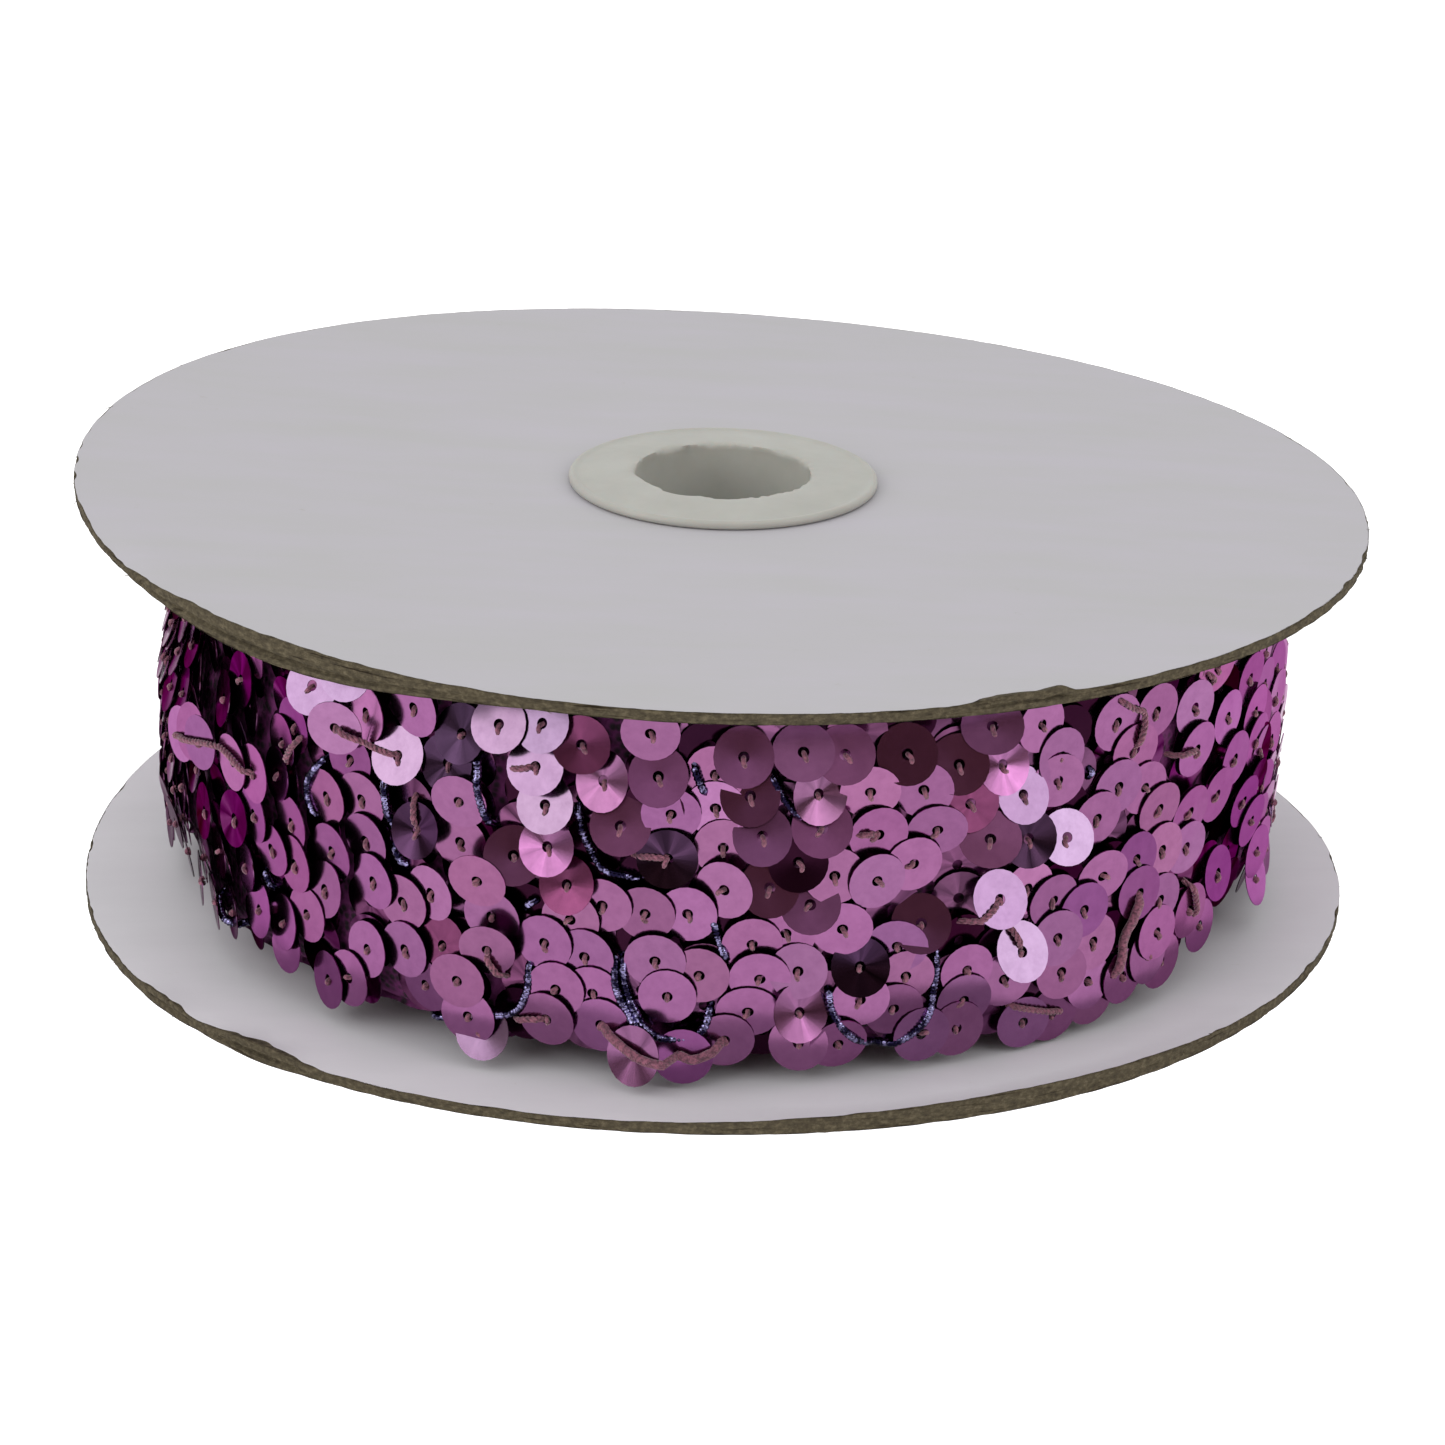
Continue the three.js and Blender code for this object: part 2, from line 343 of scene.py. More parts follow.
@dataclass(frozen=True)
class Finish:
    """A material: a tint along a grain, a veil over it, a relief in mm deep and plain values.

    Without a grain the tint is the mesh's own. The veil multiplies the tint by its colours, or
    where there is a rubbed colour, shows that as far as the veil is white. The values are the
    shader's, by socket, with colours as hex codes.
    """

    name: str
    grain: Grain | None
    stops: tuple[tuple[float, str], ...] = ()
    veil: Grain | None = None
    veil_stops: tuple[tuple[float, str], ...] = ()
    rubbed: str | None = None
    relief: Grain | None = None
    depth: float = 0.0
    strength: float = 1.0
    values: dict[str, float | str] = field(default_factory=dict)

    def build(self) -> Material:
        """The material."""
        material, tree, shader = new_material(self.name)
        if self.grain:
            tint = ramp(tree, self.grain.value(tree), self.stops)
        else:
            tint = add_node(tree, "VertexColor", {"layer_name": "tint"}).outputs["Color"]
        if self.veil:
            veil = ramp(tree, self.veil.value(tree), self.veil_stops)
            settings = {"data_type": "RGBA", "blend_type": "MULTIPLY", 0: 1.0}
            links = {6: tint, 7: veil}
            if self.rubbed:
                settings = {"data_type": "RGBA", 7: colour(self.rubbed)}
                links = {0: veil, 6: tint}
            tint = add_node(tree, "Mix", settings, links).outputs[2]
        tree.links.new(tint, shader.inputs["Base Color"])
        if self.relief:
            settings = {"Distance": self.depth * MM, "Strength": self.strength}
            bump = add_node(tree, "Bump", settings, {"Height": self.relief.value(tree)})
            tree.links.new(bump.outputs[0], shader.inputs["Normal"])
        for key, value in self.values.items():
            shader.inputs[key].default_value = colour(value) if isinstance(value, str) else value
        return material


# White-lined greyboard, clay coated and calendered: pale, nearly matt, faintly grained
COATED_BOARD = Finish(
    "coated_board", Grain((26.0, 7.0, 7.0), 4), ((0.3, "#B9B8BA"), (0.7, "#BDBAC1")),
    Grain((2.4,) * 3, 6, 0.75), ((0.66, "#000000"), (0.8, "#FFFFFF")), "#ADAAA6",
    Grain((0.5,) * 3), 0.02, 0.5, {"Roughness": 0.62, "Specular IOR Level": 0.35})
# The same board painted lighter for the lower disc: painted light on a face that the upper disc shades
LIGHTENED_COATED_BOARD = replace(COATED_BOARD, name="coated_board_painted_lighter", rubbed="#D2CFCC",
                            stops=((0.3, "#DDDCE0"), (0.7, "#E2E1E5")))
# The cut edge of greyboard: pressed waste-paper fibre, brown-grey and dry, with cracks along it
RAW_BOARD_EDGE = Finish(
    "raw_board_edge", Grain((0.7, 0.7, 0.45), 5, 0.7),
    ((0.3, "#39332A"), (0.5, "#4E4738"), (0.72, "#6A614E")),
    Grain((7.0, 7.0, 0.3), 4), ((0.32, "#8A7F72"), (0.42, "#FFFFFF")), None,
    Grain((0.6, 0.6, 0.3), 5, 0.7), 0.12, 1.0, {"Roughness": 0.95, "Specular IOR Level": 0.15})
# Injection-moulded natural polyethylene: milky, satin and a little see-through
MILKY_POLYETHYLENE = Finish(
    "milky_polyethylene", Grain((5.0,) * 3), ((0.3, "#ABABA4"), (0.7, "#B3B3AC")),
    relief=Grain((0.7,) * 3), depth=0.02, strength=0.6,
    values={"Roughness": 0.42, "IOR": 1.51, "Subsurface Weight": 0.12, "Subsurface Scale": 1.2 * MM})
# Metallised polyester film, punched: a mirror of each sequin's tint, some painted darker as shade, a little
# scuffed
SEQUIN_FILM = Finish(
    "sequin_film", None, (), Grain((1.3,) * 3, 5, 0.7), ((0.3, "#EEEAEE"), (0.62, "#FFFFFF")), None,
    Grain((1.4,) * 3, 2), 0.004, 0.5, {"Metallic": 1.0, "Roughness": 0.17, "Specular Tint": "#D4AACE"})
# The second film, for the dark, plum and conical sequins: its darker edge tint dims their grazing
# reflections, as painted shade
DARK_SEQUIN_FILM = replace(SEQUIN_FILM, name="sequin_film_dark",
                           values=SEQUIN_FILM.values | {"Specular Tint": "#9A6C90"})
# Spun polyester sewing thread: dull, with a soft bloom of loose fibre
PLY_THREAD = Finish(
    "ply_thread", Grain((0.35,) * 3), ((0.35, "#4C2738"), (0.62, "#8E5267")),
    relief=Grain((0.16,) * 3), depth=0.06, values={"Roughness": 0.8, "Sheen Weight": 0.3})
# Flat metallised foil wrapped round a cotton core: dark indigo, its bright glints painted in as light patches
# of noise
GIMP_FOIL = Finish("gimp_foil", Grain((0.9,) * 3), ((0.46, "#17132A"), (0.64, "#968FBC")),
                   values={"Metallic": 1.0, "Roughness": 0.14})
# Dyed knitted net, the ground that the chains are sewn to: dull plum yarn, its holes painted nearly black as
# painted shade
PLUM_NET = Finish("plum_net", Meshes((0.9,) * 3), ((0.25, "#1B0517"), (0.6, "#5E1854")),
                  relief=Meshes((0.9,) * 3), depth=0.25, values={"Roughness": 0.85})
# An opal acrylic table top, seamless and even, lit a little from below
STUDIO_TABLE = Finish(
    "studio_table", Grain((60.0,) * 3, 2), ((0.3, "#F8F8F8"), (0.7, "#FAFAFA")),
    values={"Roughness": 0.9, "Specular IOR Level": 0.1,
            "Emission Color": "#FFFFFF", "Emission Strength": 0.55})


# The spool


@dataclass(frozen=True)
class Wave:
    """One wave of a disc around its rim, with its rise in mm by cosine and sine."""

    count: int
    cosine: float
    sine: float


@dataclass(frozen=True)
class Swell:
    """A place where the rim has split: how far it swells, its face is torn and its crack goes in."""

    angle: float
    half_width: float
    above: float
    below: float
    torn: float = 0.0
    crack: float = 0.5


@dataclass
class BoardDisc:
    """A greyboard disc with a coated face on each side, warped, with a frayed cut rim."""

    name: str
    node: str
    underside: float
    waves: list[Wave]
    swells: list[Swell]
    seed: int
    segments: int = 900
    swell_reach: float = 9.0
    fray: float = 0.1
    crushed: float = 0.36
    crush_reach: float = 2.2
    nibbled: float = 0.22
    lint: int = 70
    worn_reach: float = 4.2

    def rise(self, angle: Array, radius: Array) -> Array:
        """How far the disc stands above its level plane. It is flat under the collar."""
        share = np.maximum(radius - COLLAR_RADIUS, 0) / (DISC_RADIUS - COLLAR_RADIUS)
        total = np.zeros(np.broadcast(angle, radius).shape)
        for wave in self.waves:
            phase = np.radians(angle) * wave.count
            height = wave.cosine * np.cos(phase) + wave.sine * np.sin(phase)
            total = total + height * share ** max(wave.count, 1.2)
        return total

    def around_swells(self, part: str, angle: Array) -> Array:
        """One of the swells' sizes round the rim: a hill at each."""
        return sum(getattr(s, part) * hill(turn_between(angle, s.angle), s.half_width) for s in self.swells)

    def swelling(self, side: str, angle: Array, radius: Array) -> Array:
        """The swelling of the rim on one face, "above" or "below"."""
        reach = self.swell_reach if side == "below" else self.swell_reach / 4
        return smooth_step(radius, DISC_RADIUS - reach, DISC_RADIUS) * self.around_swells(side, angle)

    def top(self, angle: Array, radius: Array) -> Array:
        """The height of the upper face."""
        level = self.underside + DISC_THICKNESS + self.rise(angle, radius)
        return level + self.swelling("above", angle, radius)

    def bottom(self, angle: Array, radius: Array) -> Array:
        """The height of the lower face, which the cutting die has crushed upwards at the rim."""
        crush = self.crushed * smooth_step(radius, DISC_RADIUS - self.crush_reach, DISC_RADIUS)
        return self.underside + self.rise(angle, radius) + crush - self.swelling("below", angle, radius)

    def tear(self, angle: Array, seed: int, splits: float) -> Array:
        """How far in from the rim the coating is worn or torn off: nibbles, and the splits' tears."""
        nibbles = 0.3 + np.clip(unevenness(angle, seed, (20, 110), 20), -0.2, 1.2)
        ragged = 0.75 + 0.3 * unevenness(angle, seed + 1, (40, 200), 24)
        return self.nibbled * nibbles + splits * self.around_swells("torn", angle) * ragged

    def surface(self) -> tuple[Array, int, int]:
        """The closed surface, and the first and last profile row of the raw board.

        The profile goes out along the lower face, up the rim and in along the upper face. A
        point's height is its share between the two faces. The last rows of each face follow
        the coating's torn edge. The rim is worn by sums of sines, and where the board has split
        it is drawn in along the middle of its thickness.
        """
        angle = all_round(self.segments)
        worn_from = DISC_RADIUS - self.worn_reach
        plain = np.concatenate([np.linspace(DISC_HOLE_RADIUS, DISC_RADIUS - 9, 10),
                                DISC_RADIUS - np.array([7.5, 6.0, 5.0, self.worn_reach])])
        plain = plain[:, None] + 0 * angle
        shares = np.linspace(0, 1, 12)
        sides = []
        for seed, splits in ((self.seed + 7, 0.0), (self.seed + 9, 1.0)):
            tear = self.tear(angle, seed, splits)
            sides.append(np.concatenate([plain, worn_from + (self.worn_reach - tear) * 0.5,
                                         DISC_RADIUS - tear, DISC_RADIUS - tear * 0.5]))
        rows = sides[0].shape[0]
        radii = np.concatenate([sides[0], np.full((shares.size, 1), DISC_RADIUS) + 0 * angle, sides[1][::-1]])
        heights = np.concatenate([np.zeros(rows), shares, np.ones(rows)])[:, None]
        on_rim = np.concatenate([np.zeros(rows), np.ones(shares.size), np.zeros(rows)])[:, None]
        wear = unevenness(angle + heights * 0.6, self.seed, (60, 330), 40)
        wear = wear + 0.8 * unevenness(angle, self.seed + 1, (12, 60))
        corner = np.where(np.abs(heights - 0.5) > 0.49, 0.07, 0.0)
        groove = np.exp(-(((heights - 0.42 - 0.08 * unevenness(angle, self.seed + 2, (3, 14))) / 0.09) ** 2))
        crack = self.around_swells("crack", angle) * groove
        radius = radii - on_rim * (corner + self.fray * (0.5 + 0.5 * wear) + crack)
        low, high = self.bottom(angle, radius), self.top(angle, radius)
        return place(angle, radius, low + (high - low) * heights), rows - 2, rows + shares.size + 1

    def fibres(self) -> tuple[Array, list[Array]]:
        """Short paper fibres that stand out of the cut rim: bent tubes at random places."""
        draw = np.random.default_rng(self.seed + 5)
        count = self.lint
        angle = draw.uniform(-180, 180, (count, 1))
        share = draw.uniform(0.1, 1.0, (count, 1))
        steps = np.linspace(0, 1, 4)[None]
        reach = draw.uniform(0.25, 0.7, (count, 1)) * steps
        slide = draw.uniform(-1.2, 1.2, (count, 1)) * steps**1.5
        droop = draw.uniform(-0.5, 0.3, (count, 1)) * steps**2
        low = self.bottom(angle, DISC_RADIUS)
        height = low + (self.top(angle, DISC_RADIUS) - low) * share + droop
        paths = place(angle + slide, DISC_RADIUS - 0.25 + reach, height)
        return tubes(paths, np.array([0.05, 0.045, 0.035, 0.02]), np.array([0.1, 0.2, 1.0]), 4)

    def build(self, face: Material, edge: Material) -> list[Object]:
        """The disc, with a raw rim and coated faces, and the fibres of its rim."""
        points, first, last = self.surface()
        rows, columns, _ = points.shape
        quads = grid_faces(rows, columns, True, True)
        row = np.arange(rows).repeat(columns)
        is_raw = ((row >= first) & (row < last)) | (row == rows - 1)
        disc = mesh_piece(self.name, points, [quads], [face, edge], second=is_raw)
        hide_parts(self.node)
        lint = mesh_piece(self.name + "_fibres", *self.fibres(), [edge])
        return [disc, lint]


@dataclass
class MouldedHub:
    """The plastic hub: two collared tubes, one plugged into the other, with a ragged bore rim."""

    segments: int = 360
    lip: float = 0.9
    flash: float = 0.3
    rim_inset: float = 0.7
    pressed_down: float = 0.2

    def collar_edge(self) -> Profile:
        """The rounded outer edge of the lower collar, from its outer face towards the disc."""
        turns = np.linspace(0, np.pi / 2, 9)
        radii = COLLAR_RADIUS - self.lip * (1 - np.sin(turns))
        return list(zip(radii, self.lip * (1 - np.cos(turns))))

    def halves(self) -> dict[str, Profile]:
        """The closed profile of each half, as radii and heights, anticlockwise."""
        middle, deep = SPOOL_HEIGHT / 2, SOCKET_DEPTH / 2
        top = SPOOL_HEIGHT - self.pressed_down
        under, rim = top - COLLAR_THICKNESS, COLLAR_RADIUS - self.rim_inset
        lower = [(BORE_RADIUS, 0.35), (BORE_RADIUS + 0.1, 0.1), (BORE_RADIUS + 0.4, 0.0),
                 *self.collar_edge(), (COLLAR_RADIUS, COLLAR_THICKNESS),
                 (TUBE_RADIUS, COLLAR_THICKNESS), (TUBE_RADIUS, middle + deep),
                 (SOCKET_RADIUS, middle + deep), (SOCKET_RADIUS, middle - deep),
                 (BORE_RADIUS, middle - deep)]
        spigot, foot, shoulder = SOCKET_RADIUS - FIT_GAP, middle - deep + FIT_GAP, middle + deep + FIT_GAP
        bead = ((0.2, 0), (0.04, 0.12), (0, 0.4), (0.05, 0.62), (0.18, 0.78), (0.38, 0.86), (0.6, 0.84),
                (0.85, 0.74), (1.2, 0.72))
        mouth = ((0.9, 0), (0.4, 0.02), (0.12, 0.1), (0, 0.3), (0, 0.7), (0, 1.1), (0, 1.7), (0, 2.6), (0, 6))
        upper = [(BORE_RADIUS, foot), (spigot, foot), (spigot, shoulder), (TUBE_RADIUS, shoulder),
                 (TUBE_RADIUS, under), *((rim - inwards, under + up) for inwards, up in bead),
                 (14.0, top - 0.28), (11.6, top - 0.04),
                 *((BORE_RADIUS + outwards, top - down) for outwards, down in mouth)]
        return {"hub_lower_half": lower, "hub_upper_half": upper}

    def surface(self, profile: Profile, seed: int) -> Array:
        """The profile turned round the axis. Near the bore's mouth, flash juts in and up."""
        radii, heights = (np.array(column)[:, None] for column in zip(*profile))
        angle = all_round(self.segments)
        near_end = hill(np.minimum(heights, SPOOL_HEIGHT - heights), 0.8)
        at_mouth = near_end * hill(radii - BORE_RADIUS, 0.6)
        ragged = unevenness(angle, seed, (4, 15), 8) + 0.3 * unevenness(angle, seed + 1, (18, 60), 10)
        bite = self.flash * at_mouth * np.clip(ragged, -0.9, 1.2)
        upward = np.where(heights > SPOOL_HEIGHT / 2, 0.5, 0.0)
        return place(angle, radii - bite, heights + bite * upward)

    def build(self, plastic: Material) -> list[Object]:
        """Both halves of the hub."""
        pieces = []
        for seed, (node, profile) in enumerate(self.halves().items()):
            faces = grid_faces(len(profile), self.segments, True, True)
            half = mesh_piece(node.replace("half", "moulding"), self.surface(profile, 31 + seed), [faces],
                              [plastic], 50)
            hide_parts(node)
            pieces.append(half)
        return pieces


# The wound trim


@dataclass(frozen=True)
class Form:
    """A hill or hollow of the outer turn."""

    angle: float
    height: float
    half_width: float
    half_height: float
    rise: float


@dataclass(frozen=True)
class Drop:
    """A stretch where the outer turn's lower edge hangs, or is drawn up."""

    angle: float
    half_width: float
    drop: float


@dataclass
class WoundRoll:
    """The wound trim without its sequins: the turns beneath and the outer turn's net."""

    lower_disc: BoardDisc
    upper_disc: BoardDisc
    clearance: float = 0.6
    ridden_up_from: float = 43.0
    edge_curl: float = 1.9
    edge_curl_height: float = 5.5
    net_thickness: float = 0.7
    end_roughness: float = 1.2
    ring_columns: int = 320
    ring_rows: int = 132
    wall_rows: int = 24
    band_columns: int = 420
    band_rows: int = 30
    forms: list[Form] = field(default_factory=lambda: [
        Form(-74, 38, 36, 12, -2.5), Form(82, 24, 42, 14, 0.6), Form(88, 15, 14, 4, -0.9),
        Form(-11, 31, 7, 7, -0.7), Form(22, 22, 9, 4, -0.6), Form(62, 18, 9, 5, -0.9),
        Form(-62, 12, 14, 6, -0.8), Form(140, 32, 24, 12, 0.5), Form(-135, 17, 26, 10, 0.5),
        Form(-160, 36, 16, 8, -0.9),
    ])
    drops: list[Drop] = field(default_factory=lambda: [
        Drop(-22, 5, 1.6), Drop(-4, 7, 2.2), Drop(-74, 12, -4.0),
        Drop(68, 24, -2.0), Drop(130, 10, 1.2), Drop(-150, 14, 1.0),
    ])

    def turn_radius(self, angle: Array) -> Array:
        """The spiral's last turn, which steps down by one turn past its tail."""
        past_tail = np.mod(np.asarray(angle, float) - TAIL_ANGLE, 360)
        return ROLL_RADIUS + TURN_THICKNESS * (past_tail / 360 - 0.5)

    def relief(self, angle: Array, height: Array) -> Array:
        """The hills and hollows of the outer turn, and its lower edge that curls inwards."""
        total = 0.0
        for form in self.forms:
            across = hill(turn_between(angle, form.angle), form.half_width)
            total = total + form.rise * across * hill(height - form.height, form.half_height)
        curl = 1 - smooth_step(height - self.lower_edge(angle), -1.0, self.edge_curl_height)
        return total - self.edge_curl * curl**1.5

    def ground(self, angle: Array, height: Array) -> Array:
        """The radius of the net that the chains are sewn to."""
        return self.turn_radius(angle) + self.relief(angle, height) - PILE_HEIGHT

    def lower_edge(self, angle: Array) -> Array:
        """The height of the outer turn's lower edge."""
        hanging = [d.drop * hill(turn_between(angle, d.angle), d.half_width) for d in self.drops]
        return ROLL_EDGE_BOTTOM - sum(hanging)

    def bottom(self, angle: Array, radius: Array) -> Array:
        """The roll's lower end: inner turns sit low, and the outer ones have ridden up."""
        on_disc = self.lower_disc.top(angle, radius) + self.clearance
        ridden_up = smooth_step(radius, self.ridden_up_from, ROLL_RADIUS)
        return on_disc + (np.maximum(self.lower_edge(angle), on_disc) - on_disc) * ridden_up

    def top(self, angle: Array, radius: Array) -> Array:
        """The roll's upper end, level but always clear of the upper disc."""
        return np.minimum(ROLL_EDGE_TOP, self.upper_disc.bottom(angle, radius) - self.clearance)

    def inner_turns(self, net: Material) -> Object:
        """The turns beneath the outer one: a ring whose ends show the edge of every turn.

        Each end is a row of ridges one turn apart, |sine| of the radius, made uneven by sines
        of the angle, and its side is the net's radius less the net and a part of a turn.
        """
        angle = all_round(self.ring_columns)
        radii = np.linspace(ROLL_CORE_RADIUS, ROLL_RADIUS - 3.4, self.ring_rows)[:, None]
        spiral = radii - TURN_THICKNESS * np.mod(angle - TAIL_ANGLE, 360) / 360
        ridges = 0.9 * np.abs(np.sin(np.pi * spiral / TURN_THICKNESS))
        ridges = ridges + 0.25 * unevenness(angle + radii * 2, 61, (20, 90))
        hollow = self.end_roughness - np.clip(ridges, 0, 1.1)
        low, high = self.bottom(angle, radii) + hollow, self.top(angle, radii) - hollow
        shares = np.linspace(0.02, 0.98, self.wall_rows)[:, None]
        wall = low[-1:] + (high[-1:] - low[-1:]) * shares
        wall_radius = self.ground(angle, wall) - self.net_thickness - 0.35
        points = np.concatenate([place(angle, radii, low), place(angle, wall_radius, wall),
                                 place(angle, radii[::-1], high[::-1])])
        faces = grid_faces(len(points), self.ring_columns, True, True)
        return mesh_piece("inner_turns", points, [faces], [net])

    def net_band(self, net: Material) -> Object:
        """The outer turn's net: one open band from under the tail round to the tail.

        Both faces follow the ground's radius, the inner one a net's thickness inwards, and the
        profile closes round the upper and lower edge.
        """
        rows = self.band_rows
        angle = np.linspace(TAIL_ANGLE - 359.6, TAIL_ANGLE - 0.4, self.band_columns)[None]
        shares = np.linspace(0, 1, rows)
        outer = np.concatenate([shares, shares[::-1]])[:, None]
        inset = self.net_thickness * np.arange(2).repeat(rows)[:, None]
        low = self.lower_edge(angle) + 0.9 + 0.3 * unevenness(angle, 71, (20, 80))
        high = self.top(angle, np.full_like(angle, ROLL_RADIUS)) - 0.3
        height = low + (high - low) * outer
        crinkle = 0.12 * unevenness(angle + height * 3, 72, (25, 90))
        points = place(angle, self.ground(angle, height) - inset + crinkle, height)
        around = grid_faces(2 * rows, angle.size, True, False)
        step = np.arange(rows - 1)
        start = np.stack([step, step + 1, 2 * rows - 2 - step, 2 * rows - 1 - step], -1) * angle.size
        band = mesh_piece("net_band", points, [around, start, start[:, ::-1] + angle.size - 1], [net])
        return band


class Tint(Enum):
    """How a sequin looks: its film, how far it faces up, how far it is cupped, and its streaks."""

    MAUVE = ("#8E5B85", -12.0, 0.0, 0.0)
    LIGHT = ("#9E6A95", -6.0, 0.05, 0.0)
    SHADED = ("#7C4876", -3.0, 0.05, 0.0)
    BRIGHT = ("#876E8A", 22.0, 0.06, 0.02)
    ROSE = ("#723C5D", 13.0, 0.12, 0.08)
    BROWN = ("#8E5884", 19.0, 0.06, 0.0)
    # Painted shade: these two films are mauve painted darker, for the sequins beneath and in shade
    DARK = ("#2C1124", 8.0, 0.1, 0.0)
    PLUM = ("#68405F", 6.0, 0.12, 0.3)
    CONE = ("#3E2A40", 16.0, 0.35, 0.26)
    HALF = ("#86597E", 17.0, 0.34, 0.16)

    def __init__(self, film: str, faces_up: float, cup: float, streaks: float) -> None:
        """Keeps the film's colour, the tilt in degrees, the cup's depth in mm and the streaks."""
        self.film = colour(film)[:3]
        self.faces_up = faces_up
        self.cup = cup
        self.streaks = streaks


TINT_LETTERS = {"m": Tint.MAUVE, "l": Tint.LIGHT, "s": Tint.SHADED, "b": Tint.BRIGHT, "r": Tint.ROSE,
                "d": Tint.BROWN, "k": Tint.DARK, "p": Tint.PLUM, "c": Tint.CONE, "h": Tint.HALF}


@dataclass(frozen=True)
class Chain:
    """A chain of sequins in sewn order: a letter for each one's tint, then angle and height.

    The lean says how many degrees they face right of straight out, and the hang how many they
    face up, where that isn't as usual. What stands off hangs that far out from the pile.
    """

    tints: str
    holes: Places
    lean: float | None = None
    hang: float | None = None
    stands_off: float = 0.0


